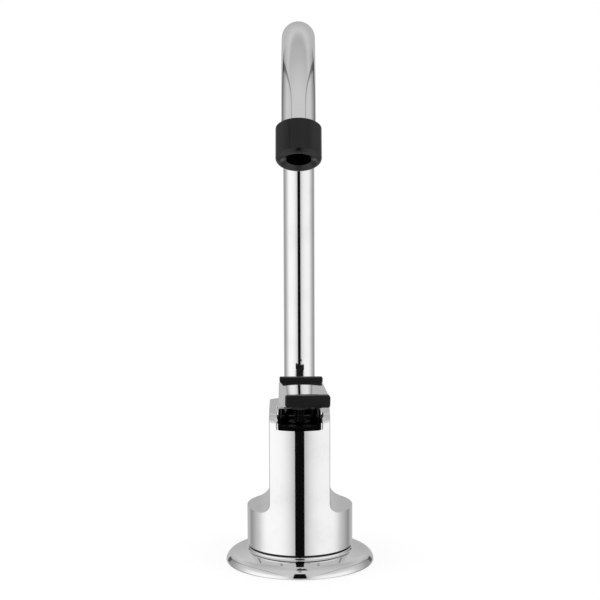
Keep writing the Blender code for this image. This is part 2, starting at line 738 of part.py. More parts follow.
def make_spring(stem):
    wire = SPRING_WIRE / 2
    sides = 6
    steps_per_turn = 12
    rise = SPRING_LENGTH - SPRING_WIRE
    total = SPRING_TURNS * steps_per_turn
    rings = []
    for step in range(total + 1):
        angle = 2 * math.pi * step / steps_per_turn
        outward = Vector((math.cos(angle), math.sin(angle), 0))
        middle = outward * SPRING_RADIUS + Vector((0, 0, spring_foot + wire + rise * step / total))
        ring = []
        for side in range(sides):
            turn = 2 * math.pi * side / sides
            ring.append(middle + outward * wire * math.cos(turn) + Vector((0, 0, wire * math.sin(turn))))
        rings.append(ring)
    add_piece("return_spring", loft(rings), "steel", stem, 60.0)


def make_stem(stem):
    dome = STEM_RADIUS / 2
    profile = [
        (0, poppet_foot - STEM_TAIL_LENGTH), (STEM_TAIL_RADIUS, poppet_foot - STEM_TAIL_LENGTH),
        (STEM_TAIL_RADIUS, poppet_foot), (POPPET_RADIUS, poppet_foot), (POPPET_RADIUS, poppet_top),
        (STEM_NECK_RADIUS, poppet_top), (STEM_NECK_RADIUS, bonnet_foot),
        (STEM_RADIUS, bonnet_foot + STEM_NECK_TAPER),
        (STEM_RADIUS, stem_tip - dome),
    ]
    profile += [(STEM_RADIUS * math.cos(step), stem_tip - dome + dome * math.sin(step))
                for step in (math.radians(angle) for angle in (22.5, 45, 67.5))]
    profile.append((0, stem_tip))
    add_piece("valve_stem", turned(profile, INNER_FACETS), "acetal", stem)
    washer = [
        (STEM_NECK_RADIUS + SEAM_GAP, washer_foot), (POPPET_RADIUS, washer_foot),
        (POPPET_RADIUS, washer_foot + WASHER_THICKNESS),
        (STEM_NECK_RADIUS + SEAM_GAP, washer_foot + WASHER_THICKNESS),
    ]
    add_piece("seat_washer", turned(washer, INNER_FACETS), "rubber", stem)
    adjuster = hex_body(ADJUSTER_ACROSS_FLATS, adjuster_top - ADJUSTER_HEIGHT, adjuster_top,
                        STEM_RADIUS + SEAT_GAP)
    bm = loft(adjuster, closed=True)
    bmesh.ops.rotate(bm, verts=bm.verts, cent=(0, 0, 0), matrix=Matrix.Rotation(math.pi / 6, 3, "Z"))
    add_piece("adjusting_nut", bm, "acetal", stem)


# Spout

def spout_stations():
    # Middle and direction of the tube: up the column, round the bend and along the run out.
    stations = [(Vector((0, 0, tube_foot)), 0.0)]
    bend_steps = 24
    for step in range(bend_steps + 1):
        angle = math.radians(BEND_ANGLE) * step / bend_steps
        y = BEND_RADIUS * (math.cos(angle) - 1)
        z = BEND_START_HEIGHT + BEND_RADIUS * math.sin(angle)
        stations.append((Vector((0, y, z)), angle))
    last, angle = stations[-1]
    along = Vector((0, -math.sin(angle), math.cos(angle)))
    stations.append((last + along * (TUBE_RUN_OUT + TIP_GRIP), angle))
    return stations


def make_tube(spout):
    outer = []
    inner = []
    for middle, angle in spout_stations():
        turn = Matrix.Rotation(angle, 3, "X")
        outer.append([middle + turn @ spoke for spoke in circle_ring(tube_radius, 0, TUBE_FACETS)])
        inner.append([middle + turn @ spoke for spoke in circle_ring(tube_bore_radius, 0, TUBE_FACETS)])
    add_piece("spout_tube", loft(outer + inner[::-1], closed=True), "chrome", spout)


def make_tip(spout):
    # A soft sleeve turned about the end of the tube: z runs down its length from the upper rim.
    radius = tube_radius + SEAT_GAP + TIP_WALL
    socket = TIP_GRIP + SEAT_GAP
    end_round = min(TIP_END_ROUND, radius - TIP_MOUTH_RADIUS - TIP_MOUTH_LIP)
    foot = -TIP_LENGTH
    profile = [(socket_radius, -socket), (socket_radius, 0)]
    profile += arc((radius - TIP_RIM_ROUND, -TIP_RIM_ROUND), TIP_RIM_ROUND, 90, 0, 3)
    profile += arc((radius - end_round, foot + end_round), end_round, 0, -90, 8)
    profile += [(TIP_MOUTH_RADIUS, foot + TIP_MOUTH_LIP), (TIP_MOUTH_RADIUS, -socket)]
    bm = turned(profile, TIP_FACETS)
    last, angle = spout_stations()[-1]
    along = Vector((0, -math.sin(angle), math.cos(angle)))
    rim = last - along * TIP_GRIP
    lean = Matrix.Rotation(angle - math.pi, 3, "X")
    bmesh.ops.rotate(bm, verts=bm.verts, cent=(0, 0, 0), matrix=lean)
    bmesh.ops.translate(bm, verts=bm.verts, vec=rim)
    add_piece("spout_tip", bm, "rubber", spout)


def make_ferrule(spout):
    # A plug brazed into the foot of the tube, with two seals that let the spout turn in its socket.
    groove = tube_radius - FERRULE_GROOVE_DEPTH
    section = (socket_radius - groove) / 2 - SEAL_GAP
    groove_height = 2 * (section + SEAM_GAP)
    head_top = ferrule_foot + FERRULE_HEAD
    spigot = tube_bore_radius - SEAT_GAP
    seal_feet = (ferrule_foot + FERRULE_LAND, head_top - FERRULE_LAND - groove_height)
    profile = [(FERRULE_BORE_RADIUS, ferrule_foot), (tube_radius, ferrule_foot)]
    for foot in seal_feet:
        profile += [(tube_radius, foot), (groove, foot)]
        profile += [(groove, foot + groove_height), (tube_radius, foot + groove_height)]
    spigot_top = head_top + FERRULE_SPIGOT
    profile += [(tube_radius, head_top), (spigot, head_top)]
    profile += [(spigot, spigot_top), (FERRULE_BORE_RADIUS, spigot_top)]
    add_piece("spout_ferrule", turned(profile, INNER_FACETS), "brass", spout)
    names = ("spout_o_ring_lower", "spout_o_ring_upper")
    for name, foot in zip(names, seal_feet):
        add_ring_seal(name, (groove + socket_radius) / 2, section, foot + groove_height / 2, spout)


def make_collar():
    foot = BODY_TOP + SEAT_GAP
    top = foot + COLLAR_HEIGHT
    outer = socket_radius + COLLAR_WALL
    edge = 0.4
    profile = [(socket_radius, foot), (outer, foot), (outer, top - edge)]
    profile += [(outer - edge, top), (socket_radius, top)]
    add_piece("spout_collar", turned(profile, PIECE_FACETS, (0, column_back)), "chrome")


def make_spout(spout):
    make_tube(spout)
    make_tip(spout)
    make_ferrule(spout)


# Escutcheon, seals and the fixing under the counter

def make_escutcheon():
    neck = BODY_RADIUS - NECK_STEP
    hole = spigot_radius + SEAT_GAP
    start = math.radians(FLANGE_ROUND_START)
    slope = math.radians(FLANGE_SLOPE)
    centre = (FLANGE_RADIUS - FLANGE_ROUND * math.cos(start), FLANGE_RIM - FLANGE_ROUND * math.sin(start))
    shoulder = arc(centre, FLANGE_ROUND, FLANGE_ROUND_START, 90 - FLANGE_SLOPE, 6)
    edge_radius, edge_height = shoulder[-1]
    fillet_radius = neck + NECK_FILLET
    slope_height = edge_height + (edge_radius - fillet_radius) * math.tan(slope)
    fillet_centre = (fillet_radius, slope_height + NECK_FILLET / math.cos(slope))
    edge = 0.2
    recess = FLANGE_RADIUS - RIM_WIDTH
    profile = [(recess, 0), (FLANGE_RADIUS - edge, 0), (FLANGE_RADIUS, edge)]
    profile += shoulder
    profile += arc(fillet_centre, NECK_FILLET, 270 - FLANGE_SLOPE, 180, 3)
    profile += [(neck, NECK_HEIGHT - edge), (neck - edge, NECK_HEIGHT), (hole, NECK_HEIGHT)]
    profile += [(hole, RECESS_DEPTH), (recess, RECESS_DEPTH)]
    add_piece("escutcheon", turned(profile, FLANGE_FACETS), "chrome")


def flat_ring(name, inner, outer, foot, thickness, finish, facets):
    profile = [(inner, foot), (outer, foot), (outer, foot + thickness), (inner, foot + thickness)]
    return add_piece(name, turned(profile, facets), finish)


def make_seals():
    seal_outer = BODY_RADIUS - NECK_STEP - BODY_FOOT_CHAMFER
    flat_ring("body_seal_ring", seal_outer - BODY_SEAL_WIDTH, seal_outer, NECK_HEIGHT + SEAM_GAP,
              BODY_SEAL_THICKNESS, "rubber", RING_FACETS)
    gasket_outer = FLANGE_RADIUS - RIM_WIDTH - SEAT_GAP
    flat_ring("deck_gasket", shank_socket_radius, gasket_outer, 0, GASKET_THICKNESS, "rubber", RING_FACETS)


def make_lock_washer(top):
    # Teeth are cut round the rim, each one notch wide.
    outer = LOCK_WASHER_RADIUS
    inner = shank_socket_radius
    notches_per_tooth = 4
    count = LOCK_WASHER_TEETH * notches_per_tooth
    rings = []
    for radius, height in ((inner, top), (inner, top - LOCK_WASHER_THICKNESS),
                           (outer, top - LOCK_WASHER_THICKNESS), (outer, top)):
        ring = circle_ring(radius, height, count)
        if radius == outer:
            for index, point in enumerate(ring):
                if index % notches_per_tooth >= notches_per_tooth / 2:
                    point.xy *= (outer - LOCK_TOOTH_DEPTH) / outer
        rings.append(ring)
    add_piece("lock_washer", loft(rings, closed=True), "steel")


def make_fixing():
    edge = 0.4
    foot = shank_top - SHANK_LENGTH
    profile = [
        (SHANK_BORE_RADIUS, foot), (SHANK_RADIUS - edge, foot), (SHANK_RADIUS, foot + edge),
        (SHANK_RADIUS, shank_top - edge), (SHANK_RADIUS - edge, shank_top), (SHANK_BORE_RADIUS, shank_top),
    ]
    add_piece("mounting_shank", turned(profile, PIECE_FACETS), "brass")
    washer_foot_height = -COUNTER_THICKNESS - DECK_WASHER_THICKNESS
    flat_ring("deck_washer", shank_socket_radius, DECK_WASHER_RADIUS, washer_foot_height,
              DECK_WASHER_THICKNESS, "steel", RING_FACETS)
    lock_top = washer_foot_height - SEAT_GAP
    make_lock_washer(lock_top)
    nut_top = lock_top - LOCK_WASHER_THICKNESS - SEAT_GAP
    rings = hex_body(SHANK_NUT_ACROSS_FLATS, nut_top - SHANK_NUT_HEIGHT, nut_top, shank_socket_radius)
    add_piece("shank_nut", loft(rings, closed=True), "brass")


def main():
    for thing in list(bpy.data.objects):
        bpy.data.objects.remove(thing, do_unlink=True)
    spout = add_axis("spout_axis", (0, column_back, 0))
    lever = add_axis("lever_axis", (0, -pin_forward, pin_height), yaw)
    stem = add_axis("stem_axis", (0, -stem_forward, 0))
    make_body()
    make_liner()
    make_lever(lever)
    make_bonnet(stem)
    make_sleeve(stem)
    make_spring(stem)
    make_stem(stem)
    make_spout(spout)
    make_collar()
    make_escutcheon()
    make_seals()
    make_fixing()


main()
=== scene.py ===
# Drinking fountain faucet: gooseneck spout, push lever, milled body and domed escutcheon.
# Sizes are in millimetres and angles in degrees; every mesh is scaled to metres as it is made.
import math

import bmesh
import bpy
from mathutils import Matrix, Vector


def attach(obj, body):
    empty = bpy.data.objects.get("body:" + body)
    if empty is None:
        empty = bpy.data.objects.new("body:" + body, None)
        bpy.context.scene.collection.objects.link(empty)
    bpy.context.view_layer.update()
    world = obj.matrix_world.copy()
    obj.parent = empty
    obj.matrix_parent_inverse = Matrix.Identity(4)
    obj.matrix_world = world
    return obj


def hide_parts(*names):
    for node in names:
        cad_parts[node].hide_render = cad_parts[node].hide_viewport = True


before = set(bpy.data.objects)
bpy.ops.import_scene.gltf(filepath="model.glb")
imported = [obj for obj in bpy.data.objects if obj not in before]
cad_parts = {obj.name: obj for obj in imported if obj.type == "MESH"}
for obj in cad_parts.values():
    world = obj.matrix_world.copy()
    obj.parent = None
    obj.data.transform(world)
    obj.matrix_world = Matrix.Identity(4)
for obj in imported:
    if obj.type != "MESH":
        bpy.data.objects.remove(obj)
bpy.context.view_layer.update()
mm = 0.001
print("frame loaded")


# Mesh helpers

def roundStretch(centre, radius, start, end, steps):
    points = []
    for step in range(steps + 1):
        angle = math.radians(start + (end - start) * step / steps)
        points.append((centre[0] + radius * math.cos(angle), centre[1] + radius * math.sin(angle)))
    return points


def ringAround(radius, height, count, centre=(0.0, 0.0)):
    ring = []
    for index in range(count):
        angle = 2 * math.pi * index / count
        x = centre[0] + radius * math.cos(angle)
        y = centre[1] + radius * math.sin(angle)
        ring.append(Vector((x, y, height)))
    return ring


def joinRings(rings, closed=False):
    # quads between rings of equally many points, with a face at each end of an open run
    bm = bmesh.new()
    rows = [[bm.verts.new(point) for point in ring] for ring in rings]
    pairs = list(zip(rows, rows[1:]))
    if closed:
        pairs.append((rows[-1], rows[0]))
    for lower, upper in pairs:
        count = len(lower)
        for index in range(count):
            following = (index + 1) % count
            bm.faces.new((lower[index], lower[following], upper[following], upper[index]))
    if not closed:
        bm.faces.new(rows[0])
        bm.faces.new(rows[-1])
    return tidyMesh(bm)


def tidyMesh(bm):
    bmesh.ops.remove_doubles(bm, verts=bm.verts, dist=1e-5)
    bmesh.ops.recalc_face_normals(bm, faces=bm.faces)
    return bm


def turnOnLathe(profile, facets, centre=(0.0, 0.0)):
    # a profile of radius and height turned round an upright line, closed unless it ends on that line
    rings = [ringAround(radius, height, facets, centre) for radius, height in profile]
    endsOnLine = any(radius == 0 for radius, height in profile)
    return joinRings(rings, closed=not endsOnLine)


def pushOut(outline, start, end, axis):
    # an outline drawn across X as (y, z), or across Y as (x, z)
    rings = []
    for place in (start, end):
        if axis == "X":
            rings.append([Vector((place, first, second)) for first, second in outline])
        else:
            rings.append([Vector((first, place, second)) for first, second in outline])
    return joinRings(rings)


def roundBlock(size, centre, corner, along, steps=8):
    across = [index for index in range(3) if index != "XYZ".index(along)]
    halves = [size[index] / 2 - corner for index in across]
    outline = []
    for quarter, (side, up) in enumerate(((1, 1), (-1, 1), (-1, -1), (1, -1))):
        middle = (centre[across[0]] + side * halves[0], centre[across[1]] + up * halves[1])
        outline += roundStretch(middle, corner, 90 * quarter, 90 * quarter + 90, steps)
    place = centre["XYZ".index(along)]
    reach = size["XYZ".index(along)] / 2
    return pushOut(outline, place - reach, place + reach, along)


def barBetween(radius, start, end, facets=64):
    start = Vector(start)
    end = Vector(end)
    turn = (end - start).to_track_quat("Z", "Y").to_matrix()
    rings = [[point + turn @ spoke for spoke in ringAround(radius, 0.0, facets)] for point in (start, end)]
    return joinRings(rings)


def meshObject(name, bm, spot=None):
    # spot is where the piece's own axes stand in the frame, in millimetres
    if spot is not None:
        bmesh.ops.transform(bm, matrix=spot, verts=bm.verts)
    bmesh.ops.scale(bm, vec=(mm, mm, mm), verts=bm.verts)
    mesh = bpy.data.meshes.new(name)
    bm.to_mesh(mesh)
    bm.free()
    thing = bpy.data.objects.new(name, mesh)
    bpy.context.collection.objects.link(thing)
    return thing


def addCutter(piece, cutters, name, bm, operation="DIFFERENCE", spot=None):
    cutter = meshObject(name, bm, spot)
    cutters.append(cutter)
    boolean = piece.modifiers.new(name, "BOOLEAN")
    boolean.operation = operation
    boolean.solver = "EXACT"
    boolean.object = cutter


def easeEdges(piece, width, segments=3, angle=35.0):
    bevel = piece.modifiers.new("easedEdges", "BEVEL")
    bevel.width = width * mm
    bevel.segments = segments
    bevel.limit_method = "ANGLE"
    bevel.angle_limit = math.radians(angle)


def bakeModifiers(piece):
    graph = bpy.context.evaluated_depsgraph_get()
    baked = bpy.data.meshes.new_from_object(piece.evaluated_get(graph))
    piece.modifiers.clear()
    piece.data = baked


def finishPiece(piece, material, body, node, cutters=(), sharp=35.0):
    # cuts the piece, shades it by face area and hands it to the frame
    bakeModifiers(piece)
    for cutter in cutters:
        bpy.data.objects.remove(cutter, do_unlink=True)
    piece.data.shade_smooth()
    piece.data.set_sharp_from_angle(angle=math.radians(sharp))
    weighted = piece.modifiers.new("faceAreaNormals", "WEIGHTED_NORMAL")
    weighted.keep_sharp = True
    weighted.weight = 90
    bakeModifiers(piece)
    piece.data.materials.clear()
    piece.data.materials.append(material)
    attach(piece, body)
    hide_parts(node)


# Material helpers

def hexColour(code):
    # sRGB hex to linear
    channels = []
    for start in (1, 3, 5):
        value = int(code[start:start + 2], 16) / 255
        channels.append(value / 12.92 if value <= 0.04045 else ((value + 0.055) / 1.055) ** 2.4)
    return (*channels, 1.0)


def addNode(tree, kind, settings=None, inputs=None, stops=None):
    node = tree.nodes.new(kind)
    for name, value in (settings or {}).items():
        setattr(node, name, value)
    for name, value in (inputs or {}).items():
        if isinstance(value, bpy.types.NodeSocket):
            tree.links.new(value, node.inputs[name])
        else:
            node.inputs[name].default_value = value
    if stops:
        elements = node.color_ramp.elements
        while len(elements) < len(stops):
            elements.new(1.0)
        for element, (place, colour) in zip(elements, stops):
            element.position = place
            element.color = colour
    return node


def startMaterial(name, settings):
    material = bpy.data.materials.new(name)
    material.use_nodes = True
    tree = material.node_tree
    shader = tree.nodes["Principled BSDF"]
    for socket, value in settings.items():
        shader.inputs[socket].default_value = value
    return material, tree, shader


def perMetre(size):
    # texture scale for a pattern that repeats every so many millimetres
    return 1000.0 / size


def startPatches(tree, finish):
    # soft patches in which the colour goes from the first to the second and the surface grows duller
    place = addNode(tree, "ShaderNodeTexCoord").outputs["Object"]
    patch = addNode(tree, "ShaderNodeTexNoise", None, {
        "Vector": place, "Scale": perMetre(finish["patch"]), "Detail": finish["detail"],
        "Roughness": finish["broken"]})
    share = addNode(tree, "ShaderNodeMapRange", {"interpolation_type": "SMOOTHSTEP"}, {
        "Value": patch.outputs["Fac"], "From Min": finish["from"], "From Max": finish["to"]})
    colour = addNode(tree, "ShaderNodeMix", {"data_type": "RGBA"}, {
        "Factor": share.outputs["Result"], 6: hexColour(finish["first"]), 7: hexColour(finish["second"])})
    rough = addNode(tree, "ShaderNodeMapRange", None, {
        "Value": share.outputs["Result"], "To Min": finish["smooth"], "To Max": finish["dull"]})
    return place, colour, rough


def linkShader(tree, shader, colour, rough, bump):
    tree.links.new(colour.outputs[2], shader.inputs["Base Color"])
    tree.links.new(rough.outputs[0], shader.inputs["Roughness"])
    tree.links.new(bump.outputs[0], shader.inputs["Normal"])


# Bright chrome over brass, electroplated after the casting and tube were buffed: a mirror, with the
# faintest long ripple left by the mop and a little haze where hands touch it. Sizes and depths are in
# millimetres in all the finishes.
chromeFinish = {
    "first": "#F1F1F1", "second": "#EAEAEA", "smooth": 0.030, "dull": 0.065,
    "patch": 16.0, "detail": 5.0, "broken": 0.6, "from": 0.45, "to": 0.75,
    "pitSize": 0.5, "pitRough": 0.012, "rippleSize": 7.0, "rippleDepth": 0.0010,
}


def electroplatedChrome(name, finish):
    material, tree, shader = startMaterial(name, {"Metallic": 1.0})
    place, colour, hazed = startPatches(tree, finish)
    pits = addNode(tree, "ShaderNodeTexNoise", None, {
        "Vector": place, "Scale": perMetre(finish["pitSize"]), "Detail": 2.0})
    rough = addNode(tree, "ShaderNodeMath", {"operation": "MULTIPLY_ADD"}, {
        0: pits.outputs["Fac"], 1: finish["pitRough"], 2: hazed.outputs["Result"]})
    ripple = addNode(tree, "ShaderNodeTexNoise", None, {
        "Vector": place, "Scale": perMetre(finish["rippleSize"]), "Detail": 1.0})
    bump = addNode(tree, "ShaderNodeBump", None, {
        "Strength": 1.0, "Distance": finish["rippleDepth"] * mm, "Height": ripple.outputs["Fac"]})
    linkShader(tree, shader, colour, rough, bump)
    return material


# Acetal moulded in a spark eroded tool: satin black with a fine even grain that softens its shine,
# and faint grey where the surface has been rubbed. The real grain is near 0.1 mm; it is drawn three
# times coarser so that it shows.
acetalFinish = {
    "first": "#09090A", "second": "#121213", "smooth": 0.32, "dull": 0.44, "shine": 0.32,
    "patch": 8.0, "detail": 4.0, "broken": 0.55, "from": 0.35, "to": 0.70,
    "grain": 0.35, "grainDepth": 0.008,
}

# The same acetal in the slot and on the gland nut, matt all over and with almost no shine. Its colour is
# painted darker than the lever's, as painted shade for the shade inside the slot.
slotShadeFinish = {
    **acetalFinish, "first": "#060606", "second": "#0A0A0A", "smooth": 0.40, "dull": 0.52, "shine": 0.02,
    "patch": 6.0, "grainDepth": 0.010,
}

# Silicone rubber for the tip, moulded in a smooth tool: black with a soft shine and a faint bloom that
# lies in patches. Its grain is drawn coarser too.
tipFinish = {
    **acetalFinish, "first": "#080808", "second": "#101010", "smooth": 0.13, "dull": 0.22, "shine": 0.44,
    "patch": 10.0, "grain": 0.45, "grainDepth": 0.003,
}

# Nitrile rubber for the seals: the same black, with its bloom in smaller patches.
sealFinish = {**tipFinish, "patch": 5.0}


def mouldedBlack(name, finish):
    material, tree, shader = startMaterial(name, {
        "IOR": 1.48, "Metallic": 0.0, "Specular IOR Level": finish["shine"]})
    place, colour, rough = startPatches(tree, finish)
    grain = addNode(tree, "ShaderNodeTexVoronoi", {"feature": "SMOOTH_F1"}, {
        "Vector": place, "Scale": perMetre(finish["grain"])})
    bump = addNode(tree, "ShaderNodeBump", None, {
        "Strength": 0.8, "Distance": finish["grainDepth"] * mm, "Height": grain.outputs["Distance"]})
    linkShader(tree, shader, colour, rough, bump)
    return material


# Free cutting brass as it comes off the lathe: warm yellow, fine tool rings round the axis and a
# browner tarnish in patches. The feed marks are near 0.1 mm and are drawn at 2.5 mm, to show as rings.
brassFinish = {
    "first": "#D9B46C", "second": "#A97F3E", "smooth": 0.22, "dull": 0.40,
    "patch": 6.0, "detail": 5.0, "broken": 0.6, "from": 0.42, "to": 0.68,
    "feed": 2.513, "feedDepth": 0.006,
}

# Stainless steel, turned or stamped and tumbled: grey, with faint rings in the direction it was worked,
# drawn coarser in the same way.
steelFinish = {
    **brassFinish, "first": "#C9C8C5", "second": "#A3A29F", "smooth": 0.24, "dull": 0.38,
    "patch": 9.0, "feed": 1.885, "feedDepth": 0.005,
}


def turnedMetal(name, finish):
    material, tree, shader = startMaterial(name, {"Metallic": 1.0})
    place, colour, rough = startPatches(tree, finish)
    # the bands of a wave texture repeat every 2 pi / 20 of its scale
    rings = addNode(tree, "ShaderNodeTexWave", {
        "wave_type": "BANDS", "bands_direction": "Z", "wave_profile": "SIN"}, {
        "Vector": place, "Scale": perMetre(finish["feed"]) * 2 * math.pi / 20, "Distortion": 0.6,
        "Detail": 2.0})
    bump = addNode(tree, "ShaderNodeBump", None, {
        "Strength": 0.7, "Distance": finish["feedDepth"] * mm, "Height": rings.outputs["Fac"]})
    linkShader(tree, shader, colour, rough, bump)
    return material


chrome = electroplatedChrome("electroplatedChrome", chromeFinish)
acetal = mouldedBlack("mouldedBlackAcetal", acetalFinish)
# the slot's acetal is a darker copy of the lever's acetal: painted shade for the slot
slotAcetalPaintedShade = mouldedBlack("mattAcetalPaintedShade", slotShadeFinish)
tipRubber = mouldedBlack("mouldedSiliconeRubber", tipFinish)
sealRubber = mouldedBlack("mouldedNitrileRubber", sealFinish)
brass = turnedMetal("turnedBrass", brassFinish)
steel = turnedMetal("turnedStainlessSteel", steelFinish)
print("materials made")


# Body: a turned bar with a milled flat on each side, and a slot in its top

bodyShape = {
    "radius": 21.7,
    "foot": 7.4,
    "footChamfer": 0.4,
    "spigotRadius": 18.7,
    "spigotFoot": 1.8,
    "shoulder": 24.0,
    "flatHalf": 12.4,
    "flatFillet": 4.5,
    "top": 65.4,
    "topFillet": 4.5,
    "cornerRound": 1.0,
    "topEdge": 0.6,
    "slotHalf": 8.25,
    "slotRound": 1.6,
    "slotSweep": 80.0,
    "slotRear": -0.51,
    "rearEase": 0.1,
    "pocketFront": -18.3,
    "sill": 59.7,
    "pocketFloor": 57.0,
    "socketRadius": 6.65,
    "socketFloor": 41.1,
    "columnBack": 9.0,
    "boreRadius": 4.8,
    "boreFloor": 30.0,
    "stemForward": 12.0,
    "shankSocketRadius": 5.85,
    "shankSocketTop": 16.0,
    "frontSteps": 64,
    "cornerSteps": 8,
    "sideSteps": 30,
}


def flattedRing(radius, halfWidth, corner, height, full=False):
    # a circle cut at both sides with rounded corners; a full circle keeps the same count of points
    touch = math.degrees(math.asin((halfWidth - corner) / (radius - corner)))
    cornerY = math.sqrt((radius - corner) ** 2 - (halfWidth - corner) ** 2)
    frontSteps = bodyShape["frontSteps"]
    cornerSteps = bodyShape["cornerSteps"]
    sideSteps = bodyShape["sideSteps"]
    half = roundStretch((0, 0), radius, -90 - touch, touch - 90, frontSteps)[:-1]
    if full:
        sliver = 0.1  # degrees of the circle that stand in for a corner
        half += roundStretch((0, 0), radius, touch - 90, touch - 90 + sliver, cornerSteps)
        half += roundStretch((0, 0), radius, touch - 90 + sliver, 90 - sliver - touch, sideSteps)[1:-1]
        half += roundStretch((0, 0), radius, 90 - sliver - touch, 90 - touch, cornerSteps)[:-1]
    else:
        half += roundStretch((halfWidth - corner, -cornerY), corner, touch - 90, 0, cornerSteps)
        half += [(halfWidth, cornerY * (2 * step / sideSteps - 1)) for step in range(1, sideSteps)]
        half += roundStretch((halfWidth - corner, cornerY), corner, 0, 90 - touch, cornerSteps)[:-1]
    return [Vector((x, y, height)) for x, y in half] + [Vector((-x, -y, height)) for x, y in half]


def bodyBar():
    shape = bodyShape
    radius = shape["radius"]
    flatHalf = shape["flatHalf"]
    fillet = shape["flatFillet"]
    rootHalf = flatHalf + fillet
    chamfer = shape["footChamfer"]
    sharp = 0.03  # radius of a flat's corner where it runs out on the rim
    profile = [
        (shape["spigotRadius"], shape["spigotFoot"]), (shape["spigotRadius"], shape["foot"]),
        (radius - chamfer, shape["foot"]), (radius, shape["foot"] + chamfer), (radius, shape["shoulder"]),
    ]
    rings = []
    for ringRadius, height in profile:
        share = ringRadius / radius
        rings.append(flattedRing(ringRadius, rootHalf * share, sharp * share, height, True))
    # each flat runs out to the rim in a fillet, along which its corners grow rounder
    for halfWidth, height in roundStretch((rootHalf, shape["shoulder"] + fillet), fillet, 270, 180, 16):
        climb = min(1.0, 1.5 * (height - shape["shoulder"]) / fillet)
        corner = sharp + (shape["cornerRound"] - sharp) * climb
        rings.append(flattedRing(radius, halfWidth, corner, height))
    # the top turns over in a fillet, and its edge along each flat is drawn in
    topFillet = shape["topFillet"]
    middle = (radius - topFillet, shape["top"] - topFillet)
    for ringRadius, height in roundStretch(middle, topFillet, 0, 90, 16):
        rise = max(0.0, 1 - (shape["top"] - height) / shape["topEdge"])
        drawnIn = shape["topEdge"] * (1 - math.sqrt(1 - min(1.0, rise) ** 2))
        rings.append(flattedRing(ringRadius, flatHalf - drawnIn, shape["cornerRound"], height))
    bm = joinRings(rings)
    for side in (-1, 1):
        flat = [face for face in bm.faces if face.normal.x * side > 0.99995]
        bmesh.ops.dissolve_faces(bm, faces=flat, use_verts=True)
    return bm


def slotEdgeCutter():
    # rows along the slot that climb its wall, turn over its round edge and end outside the skin; at
    # the rear they turn just before the slot's own corners
    shape = bodyShape
    proud = 0.3
    clear = 2.0
    turn = shape["slotRound"]
    sweep = shape["slotSweep"]
    rows = []
    for out, height in roundStretch((turn, 0), turn, 180, 180 - sweep, 12):
        rows.append((out, height - turn))
    rows[0] = (2 * rows[0][0] - rows[1][0], 2 * rows[0][1] - rows[1][1])
    rows.append((rows[-1][0] + (proud - rows[-1][1]) * math.tan(math.radians(sweep)) / 2, proud))
    rows.append((rows[-1][0], clear))
    middle = (shape["radius"] - shape["topFillet"], shape["top"] - shape["topFillet"])
    bm = bmesh.new()
    sides = []
    for side in (-1, 1):
        grid = []
        front = 0.0
        for out, offset in rows:
            half = shape["slotHalf"] + out
            line = [(shape["slotRear"] - shape["rearEase"] + out, shape["top"] + offset)]
            for radius, height in roundStretch(middle, shape["topFillet"] + offset, 90, 0, 20):
                line.append((-math.sqrt(radius ** 2 - half ** 2), height))
            front = min(line[-1][0], front - 0.02)
            line.append((front, shape["sill"] + 0.15))
            grid.append([bm.verts.new((side * half, y, z)) for y, z in line])
        sides.append(grid)
    left, right = sides
    last = len(left[0]) - 1
    for lower in range(len(rows) - 1):
        upper = lower + 1
        for grid in sides:
            for place in range(last):
                bm.faces.new((grid[lower][place], grid[lower][place + 1],
                              grid[upper][place + 1], grid[upper][place]))
        for place in (0, last):
            bm.faces.new((left[lower][place], right[lower][place], right[upper][place], left[upper][place]))
    for row in (0, -1):
        for place in range(last):
            bm.faces.new((left[row][place], right[row][place], right[row][place + 1], left[row][place + 1]))
    bmesh.ops.triangulate(bm, faces=bm.faces)
    return tidyMesh(bm)


def makeBody():
    shape = bodyShape
    body = meshObject("milledBody", bodyBar())
    cutters = []
    beyond = -shape["radius"] - 5
    above = shape["top"] + 5
    slot = [
        (beyond, shape["sill"]), (shape["pocketFront"], shape["sill"]),
        (shape["pocketFront"], shape["pocketFloor"]), (shape["slotRear"], shape["pocketFloor"]),
        (shape["slotRear"], above), (beyond, above),
    ]
    addCutter(body, cutters, "slotCutter", pushOut(slot, -shape["slotHalf"], shape["slotHalf"], "X"))
    addCutter(body, cutters, "slotEdge", slotEdgeCutter())
    stemY = -shape["stemForward"]
    addCutter(body, cutters, "valveBore", barBetween(
        shape["boreRadius"], (0, stemY, shape["boreFloor"]), (0, stemY, shape["pocketFloor"] + 1)))
    back = shape["columnBack"]
    addCutter(body, cutters, "spoutSocket", barBetween(
        shape["socketRadius"], (0, back, shape["socketFloor"]), (0, back, shape["top"] + 1)))
    addCutter(body, cutters, "shankSocket", barBetween(
        shape["shankSocketRadius"], (0, 0, 0), (0, 0, shape["shankSocketTop"])))
    finishPiece(body, chrome, "base", "faucet_body", cutters, 24.0)


makeBody()
print("body milled")


# Escutcheon: a spun dome with a neck that stands under the body

escutcheonShape = {
    "radius": 30.5,
    "rim": 1.3,
    "roundRadius": 5.0,
    "roundStart": 17.0,
    "slope": 12.4,
    "neck": 21.6,
    "neckTop": 6.8,
    "neckFillet": 0.7,
    "hole": 19.0,
    "recess": 27.5,
    "recessDepth": 1.8,
    "edge": 0.2,
    "footRound": 0.8,
    "facets": 160,
}


